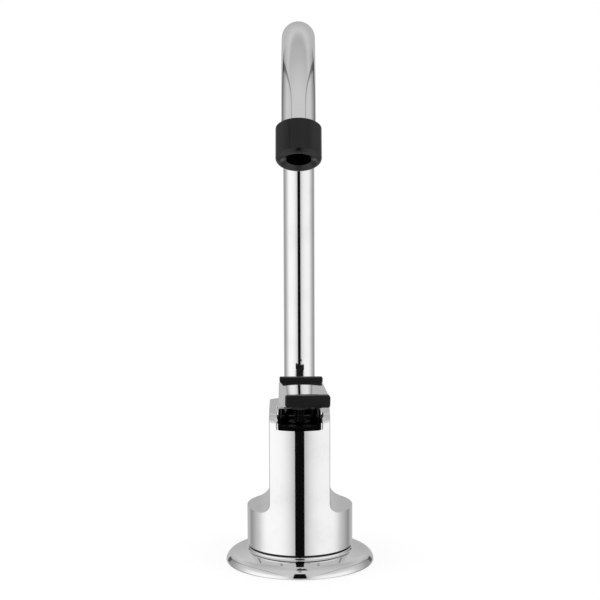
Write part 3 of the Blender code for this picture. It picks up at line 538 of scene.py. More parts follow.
def makeEscutcheon():
    shape = escutcheonShape
    start = math.radians(shape["roundStart"])
    slope = math.radians(shape["slope"])
    centre = (shape["radius"] - shape["roundRadius"] * math.cos(start),
              shape["rim"] - shape["roundRadius"] * math.sin(start))
    shoulder = roundStretch(centre, shape["roundRadius"], shape["roundStart"], 90 - shape["slope"], 16)
    edgeRadius, edgeHeight = shoulder[-1]
    filletRadius = shape["neck"] + shape["neckFillet"]
    slopeHeight = edgeHeight + (edgeRadius - filletRadius) * math.tan(slope)
    filletCentre = (filletRadius, slopeHeight + shape["neckFillet"] / math.cos(slope))
    edge = shape["edge"]
    footRound = shape["footRound"]
    profile = [(shape["recess"], 0)]
    profile += roundStretch((shape["radius"] - footRound, footRound), footRound, 270, 360, 6)
    profile += shoulder
    profile += roundStretch(filletCentre, shape["neckFillet"], 270 - shape["slope"], 180, 6)
    profile += [(shape["neck"], shape["neckTop"] - edge), (shape["neck"] - edge, shape["neckTop"])]
    profile += [(shape["hole"], shape["neckTop"]), (shape["hole"], shape["recessDepth"])]
    profile += [(shape["recess"], shape["recessDepth"])]
    plate = meshObject("spunEscutcheon", turnOnLathe(profile, shape["facets"]))
    finishPiece(plate, chrome, "base", "escutcheon", sharp=38.0)


sealShape = {"inner": 19.3, "outer": 21.1, "foot": 6.9, "top": 7.35, "edge": 0.15}
gasketShape = {"inner": 5.85, "outer": 27.2, "foot": 0.0, "top": 1.5, "edge": 0.2}


def makeFlatRing(name, shape, material, node):
    edge = shape["edge"]
    rim = shape["outer"] - edge
    profile = [(shape["inner"], shape["foot"]), (rim, shape["foot"])]
    profile += roundStretch((rim, shape["foot"] + edge), edge, -90, 0, 4)
    profile += roundStretch((rim, shape["top"] - edge), edge, 0, 90, 4)
    profile += [(shape["inner"], shape["top"])]
    ring = meshObject(name, turnOnLathe(profile, 120))
    finishPiece(ring, material, "base", node)


makeEscutcheon()
makeFlatRing("bodySealRing", sealShape, sealRubber, "body_seal_ring")
makeFlatRing("deckGasketRing", gasketShape, sealRubber, "deck_gasket")
print("escutcheon and seals turned")


# Spout: half inch tube bent on a former, with a soft tip and a collar at its foot

spoutShape = {
    "radius": 6.35,
    "bore": 5.35,
    "columnBack": 9.0,
    "foot": 54.8,
    "bendStart": 167.1,
    "bendRadius": 52.0,
    "bendAngle": 145.4,
    "runOut": 8.6,
    "bendSteps": 110,
    "facets": 96,
}

tipShape = {
    "grip": 8.7,
    "length": 14.0,
    "radius": 8.5,
    "socket": 6.65,
    "mouth": 4.6,
    "mouthLip": 1.1,
    "endRound": 1.8,
    "rimRound": 0.4,
    "clear": 0.3,
    "facets": 112,
}

collarShape = {"inner": 6.65, "outer": 7.9, "foot": 65.7, "height": 1.6, "edge": 0.4}


def spoutLine():
    shape = spoutShape
    stations = [(Vector((0, shape["columnBack"], shape["foot"])), 0.0)]
    for step in range(shape["bendSteps"] + 1):
        angle = math.radians(shape["bendAngle"]) * step / shape["bendSteps"]
        y = shape["columnBack"] + shape["bendRadius"] * (math.cos(angle) - 1)
        z = shape["bendStart"] + shape["bendRadius"] * math.sin(angle)
        stations.append((Vector((0, y, z)), angle))
    last, angle = stations[-1]
    along = Vector((0, -math.sin(angle), math.cos(angle)))
    stations.append((last + along * (shape["runOut"] + tipShape["grip"]), angle))
    return stations


def makeTube():
    outer = []
    inner = []
    for middle, angle in spoutLine():
        turn = Matrix.Rotation(angle, 3, "X")
        for rings, radius in ((outer, spoutShape["radius"]), (inner, spoutShape["bore"])):
            rings.append([middle + turn @ spoke for spoke in ringAround(radius, 0, spoutShape["facets"])])
    tube = meshObject("bentSpoutTube", joinRings(outer + inner[::-1], closed=True))
    finishPiece(tube, chrome, "spout", "spout_tube")


def makeTip():
    shape = tipShape
    socket = shape["grip"] + shape["clear"]
    rimRound = shape["rimRound"]
    endRound = min(shape["endRound"], shape["radius"] - shape["mouth"] - shape["mouthLip"])
    foot = -shape["length"]
    profile = [(shape["socket"], -socket), (shape["socket"], 0)]
    profile += roundStretch((shape["radius"] - rimRound, -rimRound), rimRound, 90, 0, 5)
    profile += roundStretch((shape["radius"] - endRound, foot + endRound), endRound, 0, -90, 16)
    profile += [(shape["mouth"], foot + shape["mouthLip"]), (shape["mouth"], -socket)]
    last, angle = spoutLine()[-1]
    along = Vector((0, -math.sin(angle), math.cos(angle)))
    spot = Matrix.Translation(last - along * shape["grip"]) @ Matrix.Rotation(angle - math.pi, 4, "X")
    tip = meshObject("softSpoutTip", turnOnLathe(profile, shape["facets"]), spot)
    finishPiece(tip, tipRubber, "spout", "spout_tip")


def makeCollar():
    shape = collarShape
    top = shape["foot"] + shape["height"]
    profile = [(shape["inner"], shape["foot"]), (shape["outer"], shape["foot"])]
    profile += roundStretch((shape["outer"] - shape["edge"], top - shape["edge"]), shape["edge"], 0, 90, 5)
    profile += [(shape["inner"], top)]
    collar = meshObject("turnedSpoutCollar", turnOnLathe(profile, 112, (0, spoutShape["columnBack"])))
    finishPiece(collar, chrome, "base", "spout_collar")


makeTube()
makeTip()
makeCollar()
print("spout bent")


# Lever: a black core that pivots on a cross pin, under a folded and plated cap

leverShape = {
    "yaw": 6.5,
    "lean": 1.2,
    "leanHeight": 10.0,
    "pin": (0.0, -5.0, 61.5),
    "pinRadius": 1.2,
    "pinHalf": 7.8,
    "capHalf": 8.9,
    "capInnerHalf": 6.5,
    "capInnerTop": 14.1,
    "capEdgeHeight": 15.3,
    "capCrown": 0.25,
    "capCorner": 1.1,
    "capFront": -26.3,
    "capRear": -3.2,
    "capRise": 1.1,
    "frontFoot": 10.4,
    "rearFoot": 5.0,
    "plateRear": -6.15,
    "cheekTop": 15.5,
    "webFoot": 10.0,
    "webTop": 13.8,
    "webRearTop": 14.8,
    "coreHalf": 6.2,
    "coreInnerHalf": 4.9,
    "legRadius": 2.4,
    "knee": (-9.0, 5.8),
    "back": (-3.35, 12.0),
    "step": 10.9,
    "pinHole": 1.5,
    "bumper": (18.0, 3.2, 5.0),
    "bumperFoot": 10.6,
    "bumperRear": -26.6,
    "bumperCorner": 1.0,
    "bumperFace": 0.6,
    "recess": (-6.3, 5.3),
    "recessTop": 11.9,
    "lip": (17.5, 2.5, 2.3),
    "lipFoot": 15.8,
    "lipRear": -3.35,
    "lipCorner": 0.5,
    "lipFace": 0.35,
}


def leverSpot():
    # the lever stands askew and leans a little on the play of its pin
    lift = Matrix.Translation((0, 0, leverShape["leanHeight"]))
    turn = Matrix.Rotation(math.radians(leverShape["yaw"]), 4, "Z")
    lean = Matrix.Rotation(math.radians(leverShape["lean"]), 4, "Y")
    return Matrix.Translation(leverShape["pin"]) @ lift @ turn @ lean @ lift.inverted()


def makeLeverCap():
    shape = leverShape
    half = shape["capHalf"]
    inner = shape["capInnerHalf"]
    corner = shape["capCorner"]
    flatHalf = half - corner
    crownRadius = (flatHalf ** 2 + shape["capCrown"] ** 2) / (2 * shape["capCrown"])
    sweep = math.degrees(math.asin(flatHalf / crownRadius))
    rings = []
    for y, foot, rise in ((shape["capFront"], shape["frontFoot"], 0.0),
                          (shape["capRear"], shape["rearFoot"], shape["capRise"])):
        edgeHeight = shape["capEdgeHeight"] + rise
        ceiling = shape["capInnerTop"] + rise
        crownMiddle = (0.0, edgeHeight + shape["capCrown"] - crownRadius)
        section = [(inner, ceiling), (inner, foot), (half, foot)]
        section += roundStretch((flatHalf, edgeHeight - corner), corner, 0, 80, 8)
        section += roundStretch(crownMiddle, crownRadius, 90 - sweep, 90 + sweep, 20)
        section += roundStretch((-flatHalf, edgeHeight - corner), corner, 100, 180, 8)
        section += [(-half, foot), (-inner, foot), (-inner, ceiling)]
        rings.append([Vector((x, y, z)) for x, z in section])
    spot = leverSpot()
    cap = meshObject("foldedLeverCap", joinRings(rings), spot)
    beyond = half + 2
    above = shape["capEdgeHeight"] + shape["capRise"] + shape["capCrown"] + 2
    notch = [
        (-inner, shape["webFoot"]), (inner, shape["webFoot"]), (inner, shape["cheekTop"]),
        (beyond, shape["cheekTop"]), (beyond, above), (-beyond, above), (-beyond, shape["cheekTop"]),
        (-inner, shape["cheekTop"]),
    ]
    cutters = []
    addCutter(cap, cutters, "capNotch",
              pushOut(notch, shape["plateRear"], 1 - shape["capRear"], "Y"), spot=spot)
    easeEdges(cap, 0.14, 2, 40.0)
    finishPiece(cap, chrome, "lever", "lever_cap", cutters)


def touchAngle(point, radius, side):
    # where a line from the point touches a circle round the pin
    reach = math.hypot(*point)
    return math.degrees(math.atan2(point[1], point[0]) + side * math.acos(radius / reach))


def softBlock(size, centre, corner, face, steps=8):
    # a block with round corners as seen from the front, its front and rear faces rounded off too
    width, depth, height = size
    rings = []
    ends = [(math.radians(90 * step / steps), -1) for step in range(steps + 1)]
    ends += [(angle, 1) for angle, side in reversed(ends)]
    for angle, side in ends:
        inset = face * (1 - math.sin(angle))
        y = centre[1] + side * (depth / 2 - face * (1 - math.cos(angle)))
        turn = max(corner - inset, 0.1)
        outline = []
        for quarter, (right, up) in enumerate(((1, 1), (-1, 1), (-1, -1), (1, -1))):
            middle = (centre[0] + right * (width / 2 - inset - turn),
                      centre[2] + up * (height / 2 - inset - turn))
            outline += roundStretch(middle, turn, 90 * quarter, 90 * quarter + 90, steps)
        rings.append([Vector((x, y, z)) for x, z in outline])
    return joinRings(rings)


def makeLeverCore():
    shape = leverShape
    front = shape["capFront"]
    intoBumper = shape["bumperRear"] - 1
    neckFront = shape["lipRear"] - shape["lip"][1] + 0.3
    neckTop = shape["lipFoot"] + 0.5
    outline = [
        (intoBumper, shape["webTop"]), (intoBumper, shape["step"]), (front, shape["step"]),
        (front, shape["webFoot"] - 0.1), shape["knee"],
    ]
    outline += roundStretch((0, 0), shape["legRadius"], touchAngle(shape["knee"], shape["legRadius"], 1),
                            touchAngle(shape["back"], shape["legRadius"], -1) + 360, 24)
    outline += [shape["back"], (shape["lipRear"], neckTop), (neckFront, neckTop),
                (neckFront, shape["webRearTop"])]
    spot = leverSpot()
    core = meshObject("mouldedLeverCore", pushOut(outline, -shape["coreHalf"], shape["coreHalf"], "X"), spot)
    cutters = []
    for end in ("bumper", "lip"):
        depth, height = shape[end][1:]
        middle = (0, shape[end + "Rear"] - depth / 2, shape[end + "Foot"] + height / 2)
        block = softBlock(shape[end], middle, shape[end + "Corner"], shape[end + "Face"])
        addCutter(core, cutters, end, block, "UNION", spot)
    # the bumper is cut away underneath between its ends
    bumperFront = shape["bumperRear"] - shape["bumper"][1] - 1
    recess = [(bumperFront, shape["bumperFoot"] - 1), (front - 0.3, shape["bumperFoot"] - 1),
              (front - 0.3, shape["recessTop"]), (bumperFront, shape["recessTop"])]
    addCutter(core, cutters, "bumperRecess", pushOut(recess, *shape["recess"], "X"), spot=spot)
    inner = shape["coreInnerHalf"]
    reach = shape["legRadius"] + 1
    hollow = [(front - 0.5, -reach), (reach, -reach), (reach, shape["webFoot"]),
              (front - 0.5, shape["webFoot"])]
    addCutter(core, cutters, "coreHollow", pushOut(hollow, -inner, inner, "X"), spot=spot)
    beyond = shape["coreHalf"] + 1
    addCutter(core, cutters, "corePinHole",
              barBetween(shape["pinHole"], (-beyond, 0, 0), (beyond, 0, 0), 40), spot=spot)
    easeEdges(core, 0.22, 3, 40.0)
    finishPiece(core, acetal, "lever", "lever_core", cutters)


def makeLeverPin():
    shape = leverShape
    edge = 0.25
    half = shape["pinHalf"]
    radius = shape["pinRadius"]
    profile = [(0, -half), (radius - edge, -half), (radius, edge - half), (radius, half - edge),
               (radius - edge, half), (0, half)]
    lay = leverSpot() @ Matrix.Rotation(math.pi / 2, 4, "Y")
    pin = meshObject("crossPin", turnOnLathe(profile, 40), lay)
    finishPiece(pin, acetal, "lever", "lever_pin")


makeLeverCap()
makeLeverCore()
makeLeverPin()
print("lever moulded and capped")


# Liner of the slot: a moulded black tray that stands just inside the body's skin

linerShape = {
    "innerHalf": 7.2,
    "outerHalf": 8.0,
    "top": 64.4,
    "sillFoot": 60.0,
    "sillTop": 61.4,
    "floorFoot": 57.6,
    "floorTop": 58.8,
    "innerRear": -1.61,
    "outerRear": -0.81,
    "front": -18.0,
    "wall": 0.8,
    "neckHole": 4.8,
    "clear": 0.3,
    "trimFoot": 30.0,
}


def makeLiner():
    shape = linerShape
    beyond = -bodyShape["radius"] - 5
    outer = [
        (beyond, shape["sillFoot"]), (shape["front"], shape["sillFoot"]),
        (shape["front"], shape["floorFoot"]), (shape["outerRear"], shape["floorFoot"]),
        (shape["outerRear"], shape["top"]), (beyond, shape["top"]),
    ]
    liner = meshObject("mouldedSlotLiner", pushOut(outer, -shape["outerHalf"], shape["outerHalf"], "X"))
    innerFront = shape["front"] + shape["wall"]
    void = [
        (beyond - 1, shape["sillTop"]), (innerFront, shape["sillTop"]), (innerFront, shape["floorTop"]),
        (shape["innerRear"], shape["floorTop"]), (shape["innerRear"], shape["top"] + 1),
        (beyond - 1, shape["top"] + 1),
    ]
    cutters = []
    addCutter(liner, cutters, "linerVoid", pushOut(void, -shape["innerHalf"], shape["innerHalf"], "X"))
    stemY = -bodyShape["stemForward"]
    addCutter(liner, cutters, "linerNeckHole", barBetween(
        shape["neckHole"], (0, stemY, shape["floorFoot"] - 1), (0, stemY, shape["floorTop"] + 1)))
    yaw = math.radians(leverShape["yaw"])
    holeHeight = 2 * (leverShape["pinRadius"] + shape["clear"])
    swing = leverShape["pinHalf"] * math.sin(yaw) + leverShape["pinRadius"] / math.cos(yaw) + shape["clear"]
    addCutter(liner, cutters, "linerPinHoles", roundBlock(
        (2 * shape["outerHalf"] + 2, 2 * swing, holeHeight), leverShape["pin"], holeHeight / 2 - 0.01, "X"))
    # what would stand out of the body's skin is trimmed off
    radius = bodyShape["radius"] - shape["clear"]
    fillet = bodyShape["topFillet"]
    envelope = [(0, shape["trimFoot"]), (radius, shape["trimFoot"])]
    envelope += roundStretch((bodyShape["radius"] - fillet, bodyShape["top"] - fillet),
                             fillet - shape["clear"], 0, 90, 12)
    envelope += [(0, bodyShape["top"] - shape["clear"])]
    addCutter(liner, cutters, "linerTrim", turnOnLathe(envelope, 144), "INTERSECT")
    # the liner takes the darker acetal, whose colour carries painted shade
    finishPiece(liner, slotAcetalPaintedShade, "base", "slot_liner", cutters)


makeLiner()
print("liner set in the slot")


# Valve parts that show in the slot: gland nut, threaded stem and its adjusting nut

valveShape = {
    "glandFlats": 9.4,
    "glandFoot": 59.1,
    "glandTop": 61.9,
    "glandNeck": 4.5,
    "neckFoot": 50.3,
    "glandBore": 2.3,
    "stemRadius": 2.0,
    "stemRoot": 1.62,
    "stemPitch": 0.9,
    "stemThreadFoot": 52.0,
    "stemTip": 71.2,
    "poppetFoot": 37.5,
    "poppetTop": 39.0,
    "poppetRadius": 2.8,
    "tailLength": 3.5,
    "tailRadius": 1.0,
    "stemNeck": 1.5,
    "neckTaper": 0.5,
    "adjusterFlats": 7.0,
    "adjusterFoot": 67.2,
    "adjusterTop": 70.0,
}


def hexRing(flats, height, count, limit):
    # hexagon with corners along X, cut back to the limit radius
    ring = []
    for index in range(count):
        angle = 2 * math.pi * index / count
        fromFlat = (angle % (math.pi / 3)) - math.pi / 6
        radius = min(flats / 2 / math.cos(fromFlat), limit)
        ring.append(Vector((radius * math.cos(angle), radius * math.sin(angle), height)))
    return ring


def hexNut(flats, foot, top, bore, lowerRings=(), bothEnds=False):
    # chamfered at 30 degrees, so the cone cuts curved lines into the flats
    count = 96
    faceRadius = 0.95 * flats / 2
    cornerRadius = flats / 2 / math.cos(math.pi / 6)
    drop = (cornerRadius - faceRadius) * math.tan(math.radians(30))
    steps = 8
    rings = [ringAround(bore + 0.2, top, count), ringAround(bore, top - 0.2, count)]
    rings += [ringAround(radius, height, count) for radius, height in lowerRings or [(bore, foot)]]
    if bothEnds:
        rings.append(ringAround(faceRadius, foot, count))
        for step in range(1, steps + 1):
            limit = faceRadius + (cornerRadius - faceRadius) * step / steps
            rings.append(hexRing(flats, foot + drop * step / steps, count, limit))
    else:
        rings.append(hexRing(flats, foot, count, cornerRadius))
    for step in range(steps, 0, -1):
        limit = faceRadius + (cornerRadius - faceRadius) * step / steps
        rings.append(hexRing(flats, top - drop * step / steps, count, limit))
    rings.append(ringAround(faceRadius, top, count))
    return joinRings(rings, closed=True)


def threadedBar(profileBelow, root, crest, pitch, start, end, profileAbove, facets=48, perPitch=6):
    # rings whose radius follows a sharp thread that fades in and out at its ends
    rings = [ringAround(max(radius, 1e-4), height, facets) for radius, height in profileBelow]
    rows = int((end - start) / pitch * perPitch)
    for row in range(rows + 1):
        height = start + (end - start) * row / rows
        fade = min(1.0, (height - start) / pitch, (end - height) / pitch)
        ring = []
        for index in range(facets):
            phase = (height / pitch - index / facets) % 1.0
            depth = abs(2 * phase - 1)
            radius = crest - (crest - root) * max(0.0, fade) * min(1.0, 1.25 * depth)
            angle = 2 * math.pi * index / facets
            ring.append(Vector((radius * math.cos(angle), radius * math.sin(angle), height)))
        rings.append(ring)
    rings += [ringAround(max(radius, 1e-4), height, facets) for radius, height in profileAbove]
    return rings


def makeValve():
    shape = valveShape
    spot = Matrix.Translation((0, -bodyShape["stemForward"], 0))
    lower = [(shape["glandBore"], shape["neckFoot"]), (shape["glandNeck"], shape["neckFoot"]),
             (shape["glandNeck"], shape["glandFoot"])]
    nut = hexNut(shape["glandFlats"], shape["glandFoot"], shape["glandTop"], shape["glandBore"], lower)
    gland = meshObject("glandNut", nut, spot)
    # the gland nut in the slot takes the darker acetal, whose colour carries painted shade
    finishPiece(gland, slotAcetalPaintedShade, "base", "bonnet_nut", sharp=25.0)
    tailFoot = shape["poppetFoot"] - shape["tailLength"]
    below = [
        (0, tailFoot), (shape["tailRadius"], tailFoot), (shape["tailRadius"], shape["poppetFoot"]),
        (shape["poppetRadius"], shape["poppetFoot"]), (shape["poppetRadius"], shape["poppetTop"]),
        (shape["stemNeck"], shape["poppetTop"]), (shape["stemNeck"], shape["neckFoot"]),
        (shape["stemRadius"], shape["neckFoot"] + shape["neckTaper"]),
    ]
    dome = shape["stemRadius"] / 2
    tip = shape["stemTip"]
    above = [(2 * across, tip - dome + rise) for across, rise in roundStretch((0, 0), dome, 15, 75, 4)]
    above.append((0, tip))
    rings = threadedBar(below, shape["stemRoot"], shape["stemRadius"], shape["stemPitch"],
                        shape["stemThreadFoot"], tip - dome, above)
    stem = meshObject("threadedStem", joinRings(rings), spot)
    finishPiece(stem, acetal, "stem", "valve_stem", sharp=50.0)
    nut = hexNut(shape["adjusterFlats"], shape["adjusterFoot"], shape["adjusterTop"], shape["glandBore"])
    adjuster = meshObject("adjustingNut", nut, spot @ Matrix.Rotation(math.pi / 6, 4, "Z"))
    finishPiece(adjuster, acetal, "stem", "adjusting_nut", sharp=25.0)


makeValve()
print("valve stem and nuts cut")


# Fixing under the counter: threaded shank, washers and nut

fixingShape = {
    "shankRadius": 5.55,
    "shankRoot": 4.85,
    "shankPitch": 1.27,
    "shankBore": 3.3,
    "shankFoot": -55.0,
    "shankTop": 14.0,
    "edge": 0.4,
    "hole": 5.85,
    "lockRadius": 10.0,
    "lockTop": -29.8,
    "lockThickness": 0.8,
    "lockTeeth": 12,
    "toothDepth": 1.6,
    "toothTwist": 0.35,
    "nutFlats": 19.0,
    "nutFoot": -38.9,
    "nutTop": -30.9,
}

washerShape = {"inner": 5.85, "outer": 17.0, "foot": -29.5, "top": -27.0, "edge": 0.35}


def makeFixing():
    shape = fixingShape
    edge = shape["edge"]
    below = [(shape["shankBore"], shape["shankTop"]), (shape["shankBore"], shape["shankFoot"]),
             (shape["shankRadius"] - 2 * edge, shape["shankFoot"]),
             (shape["shankRadius"] - edge, shape["shankFoot"] + edge)]
    above = [(shape["shankRadius"] - edge, shape["shankTop"])]
    rings = threadedBar(below, shape["shankRoot"], shape["shankRadius"], shape["shankPitch"],
                        shape["shankFoot"] + 2 * edge, shape["shankTop"] - edge, above, 60, 6)
    shank = meshObject("threadedShank", joinRings(rings, closed=True))
    finishPiece(shank, brass, "base", "mounting_shank", sharp=60.0)
    makeFlatRing("deckWasherRing", washerShape, steel, "deck_washer")
    makeLockWasher()
    hexagon = hexNut(shape["nutFlats"], shape["nutFoot"], shape["nutTop"], shape["hole"], bothEnds=True)
    nut = meshObject("shankNut", hexagon)
    finishPiece(nut, brass, "base", "shank_nut", sharp=25.0)


def makeLockWasher():
    # teeth stamped round the rim and twisted a little out of the washer's plane
    shape = fixingShape
    perTooth = 8
    count = shape["lockTeeth"] * perTooth
    foot = shape["lockTop"] - shape["lockThickness"]
    rings = []
    for radius, height in ((shape["hole"], shape["lockTop"]), (shape["hole"], foot),
                           (shape["lockRadius"] - shape["toothDepth"], foot), (shape["lockRadius"], foot),
                           (shape["lockRadius"], shape["lockTop"]),
                           (shape["lockRadius"] - shape["toothDepth"], shape["lockTop"])):
        ring = ringAround(radius, height, count)
        if radius == shape["lockRadius"]:
            for index, point in enumerate(ring):
                place = index % perTooth
                if place > perTooth / 2:
                    point.xy *= (radius - shape["toothDepth"] + 0.01) / radius
                else:
                    lean = shape["toothTwist"] * (place / (perTooth / 2) - 0.5)
                    point.z = max(foot, min(shape["lockTop"], height + lean))
        rings.append(ring)
    washer = meshObject("toothedLockWasher", joinRings(rings, closed=True))
    finishPiece(washer, steel, "base", "lock_washer", sharp=30.0)


makeFixing()
print("shank, washers and nut made")


# Nodes that keep their own shape, sealed inside the body and the tube

innerFinishes = {
    "valve_sleeve": brass,
    "spout_ferrule": brass,
    "return_spring": steel,
    "seat_washer": sealRubber,
    "stem_o_ring": sealRubber,
    "sleeve_o_ring_lower": sealRubber,
    "sleeve_o_ring_upper": sealRubber,
    "spout_o_ring_lower": sealRubber,
    "spout_o_ring_upper": sealRubber,
}

for nodeName, material in innerFinishes.items():
    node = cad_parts[nodeName]
    for materialSlot in node.material_slots:
        materialSlot.material = material
print("inner nodes finished")


# Studio: a white sweep all round with a narrow dark gap on the camera's side, which bright chrome
# shows as its black line, and grey where the light falls off behind the object

studio = {
    "white": "#FFFFFF",
    "floorReach": 4.0,
    "floorHeight": -0.00005,
    "floorColour": "#F4F4F4",
    "floorGlow": 0.50,
    # azimuth from the camera's side in degrees, and how bright the walls are there
    "walls": [
        (0.0, 0.54), (11.0, 0.56), (21.0, 0.80), (32.0, 0.96), (44.0, 1.05), (60.0, 1.08), (78.0, 1.06),
        (88.0, 0.93), (99.0, 0.70), (111.0, 0.55), (125.0, 0.38), (133.0, 0.315), (141.0, 0.42),
        (152.0, 0.53), (164.0, 0.52), (180.0, 0.45),
    ],
    # the seam where the side walls meet the ceiling: its slope up from the floor, and how dark it is
    "seamSlope": [
        (0.0, 1.14), (72.0, 1.14), (88.0, 1.08), (104.0, 0.92), (122.0, 0.68), (134.0, 0.50),
        (148.0, 0.25), (180.0, 0.0),
    ],
    "seamLoss": [
        (0.0, 0.42), (104.0, 0.45), (122.0, 0.58), (138.0, 0.66), (149.0, 0.60), (152.5, 0.0),
    ],
    # the ceiling is even, and darker towards the back
    "ceiling": 0.64,
    "backLoss": 0.34,
    "backSpan": (-0.3, 0.8),
    "screenLoss": 0.72,
    # smooth fades: what each follows, the values it runs between, and the levels before and after them.
    # The height of a direction is the sine of its elevation. A dark screen stands low at each side
    # behind the object.
    "fades": {
        "rightWall": ("right", 0.0, 0.8, 1.0, 0.94),
        "intoCeiling": ("height", 0.17, 0.64, 0.0, 1.0),
        "highUp": ("height", 0.54, 0.82, 0.0, 1.0),
        "gapSide": ("azimuth", 10.0, 10.6, 0.008, 1.0),
        "gapTop": ("height", 0.75, 0.78, 0.0, 1.0),
        "gapFoot": ("height", -0.46, -0.38, 1.0, 0.0),
        "screenFront": ("azimuth", 136.0, 141.0, 0.0, 1.0),
        "screenBack": ("azimuth", 149.0, 152.5, 1.0, 0.0),
        "screenFoot": ("height", -0.13, -0.05, 0.0, 1.0),
        "screenTop": ("height", 0.17, 0.27, 1.0, 0.0),
        "seamWidth": ("offSeam", 0.03, 0.09, 1.0, 0.0),
    },
}


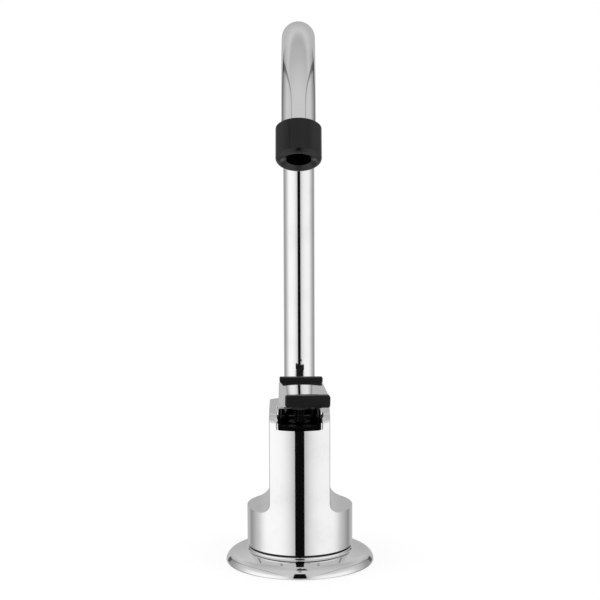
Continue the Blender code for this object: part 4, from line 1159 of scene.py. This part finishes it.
def makeWorld():
    world = bpy.data.worlds.new("whiteSweep")
    world.use_nodes = True
    bpy.context.scene.world = world
    tree = world.node_tree
    tree.nodes.clear()
    coords = addNode(tree, "ShaderNodeTexCoord")
    parts = addNode(tree, "ShaderNodeSeparateXYZ", None, {0: coords.outputs["Generated"]})
    aside = addNode(tree, "ShaderNodeMath", {"operation": "ABSOLUTE"}, {0: parts.outputs["X"]})
    ahead = addNode(tree, "ShaderNodeMath", {"operation": "MULTIPLY"}, {0: parts.outputs["Y"], 1: -1.0})
    angle = addNode(tree, "ShaderNodeMath", {"operation": "ARCTAN2"}, {
        0: aside.outputs[0], 1: ahead.outputs[0]})
    degrees = addNode(tree, "ShaderNodeMath", {"operation": "DEGREES"}, {0: angle.outputs[0]})
    around = addNode(tree, "ShaderNodeMath", {"operation": "DIVIDE"}, {0: degrees.outputs[0], 1: 180.0})

    # a ramp holds values up to 1, so they are halved in it and doubled after it
    ramped = {}
    for name in ("walls", "seamSlope", "seamLoss"):
        stops = [(place / 180, (value / 2, value / 2, value / 2, 1.0)) for place, value in studio[name]]
        ramp = addNode(tree, "ShaderNodeValToRGB", None, {"Fac": around.outputs[0]}, stops)
        doubled = addNode(tree, "ShaderNodeMath", {"operation": "MULTIPLY"}, {
            0: ramp.outputs["Color"], 1: 2.0})
        ramped[name] = doubled.outputs[0]

    slope = addNode(tree, "ShaderNodeMath", {"operation": "DIVIDE"}, {
        0: parts.outputs["Z"], 1: aside.outputs[0]})
    aboveSeam = addNode(tree, "ShaderNodeMath", {"operation": "SUBTRACT"}, {
        0: slope.outputs[0], 1: ramped["seamSlope"]})
    offSeam = addNode(tree, "ShaderNodeMath", {"operation": "ABSOLUTE"}, {0: aboveSeam.outputs[0]})
    followed = {
        "right": parts.outputs["X"], "height": parts.outputs["Z"], "azimuth": degrees.outputs[0],
        "offSeam": offSeam.outputs[0],
    }
    faded = {}
    for name, (follows, start, end, before, after) in studio["fades"].items():
        fade = addNode(tree, "ShaderNodeMapRange", {"interpolation_type": "SMOOTHSTEP"}, {
            "Value": followed[follows], "From Min": start, "From Max": end, "To Min": before,
            "To Max": after})
        faded[name] = fade.outputs["Result"]

    backward = addNode(tree, "ShaderNodeMapRange", None, {
        "Value": parts.outputs["Y"], "From Min": studio["backSpan"][0], "From Max": studio["backSpan"][1]})
    highBack = addNode(tree, "ShaderNodeMath", {"operation": "MULTIPLY"}, {
        0: backward.outputs["Result"], 1: faded["highUp"]})
    ceiling = addNode(tree, "ShaderNodeMapRange", None, {
        "Value": highBack.outputs[0], "To Min": studio["ceiling"],
        "To Max": studio["ceiling"] * (1 - studio["backLoss"])})
    walls = addNode(tree, "ShaderNodeMath", {"operation": "MULTIPLY"}, {
        0: ramped["walls"], 1: faded["rightWall"]})
    level = addNode(tree, "ShaderNodeMix", {"data_type": "FLOAT"}, {
        0: faded["intoCeiling"], 2: walls.outputs[0], 3: ceiling.outputs["Result"]})

    gap = faded["gapSide"]
    for end in ("gapTop", "gapFoot"):
        wider = addNode(tree, "ShaderNodeMath", {"operation": "MAXIMUM"}, {0: gap, 1: faded[end]})
        gap = wider.outputs[0]
    screen = studio["screenLoss"]
    for edge in ("screenFront", "screenBack", "screenFoot", "screenTop"):
        held = addNode(tree, "ShaderNodeMath", {"operation": "MULTIPLY"}, {0: screen, 1: faded[edge]})
        screen = held.outputs[0]
    seam = addNode(tree, "ShaderNodeMath", {"operation": "MULTIPLY"}, {
        0: ramped["seamLoss"], 1: faded["seamWidth"]})
    shown = addNode(tree, "ShaderNodeMath", {"operation": "MULTIPLY"}, {0: level.outputs[0], 1: gap})
    for loss in (screen, seam.outputs[0]):
        left = addNode(tree, "ShaderNodeMath", {"operation": "SUBTRACT"}, {0: 1.0, 1: loss})
        shown = addNode(tree, "ShaderNodeMath", {"operation": "MULTIPLY"}, {
            0: shown.outputs[0], 1: left.outputs[0]})

    # the camera sees plain white behind the object, while the chrome and the floor see the sweep
    sweep = addNode(tree, "ShaderNodeBackground", None, {"Color": shown.outputs[0]})
    white = addNode(tree, "ShaderNodeBackground", None, {"Color": hexColour(studio["white"])})
    path = addNode(tree, "ShaderNodeLightPath")
    both = addNode(tree, "ShaderNodeMixShader", None, {
        0: path.outputs["Is Camera Ray"], 1: sweep.outputs[0], 2: white.outputs[0]})
    addNode(tree, "ShaderNodeOutputWorld", None, {"Surface": both.outputs[0]})


def makeFloor():
    reach = studio["floorReach"]
    height = studio["floorHeight"]
    corners = [(x * reach, y * reach, height) for x, y in ((-1, -1), (1, -1), (1, 1), (-1, 1))]
    mesh = bpy.data.meshes.new("studioFloor")
    mesh.from_pydata(corners, [], [(0, 1, 2, 3)])
    floor = bpy.data.objects.new("studioFloor", mesh)
    bpy.context.collection.objects.link(floor)
    material, tree, shader = startMaterial("matPaintedFloor", {
        "Base Color": hexColour(studio["floorColour"]), "Roughness": 0.9, "Specular IOR Level": 0.1})
    # the glow is only seen, and lights nothing
    path = addNode(tree, "ShaderNodeLightPath")
    strength = addNode(tree, "ShaderNodeMath", {"operation": "MULTIPLY"}, {
        0: path.outputs["Is Camera Ray"], 1: studio["floorGlow"]})
    glow = addNode(tree, "ShaderNodeEmission", None, {
        "Color": hexColour(studio["white"]), "Strength": strength.outputs[0]})
    both = addNode(tree, "ShaderNodeAddShader", None, {0: shader.outputs[0], 1: glow.outputs[0]})
    tree.links.new(both.outputs[0], tree.nodes["Material Output"].inputs["Surface"])
    mesh.materials.append(material)
    # the chrome reflects the sweep in place of the floor, as in the photograph
    floor.visible_glossy = False


view = {
    "lens": 149.4,
    "sensor": 36.0,
    "place": (0.00034, -1.0, 0.287),
    "lookDown": 10.06,
    "roll": -0.18,
}


def makeCamera():
    data = bpy.data.cameras.new("viewCamera")
    data.lens = view["lens"]
    data.sensor_width = view["sensor"]
    camera = bpy.data.objects.new("viewCamera", data)
    bpy.context.collection.objects.link(camera)
    camera.location = view["place"]
    tilt = Matrix.Rotation(math.radians(90 - view["lookDown"]), 4, "X")
    roll = Matrix.Rotation(math.radians(view["roll"]), 4, "Z")
    camera.rotation_euler = (tilt @ roll).to_euler()
    bpy.context.scene.camera = camera


makeWorld()
makeFloor()
makeCamera()
bpy.context.scene.view_settings.view_transform = "Standard"
print("studio set")
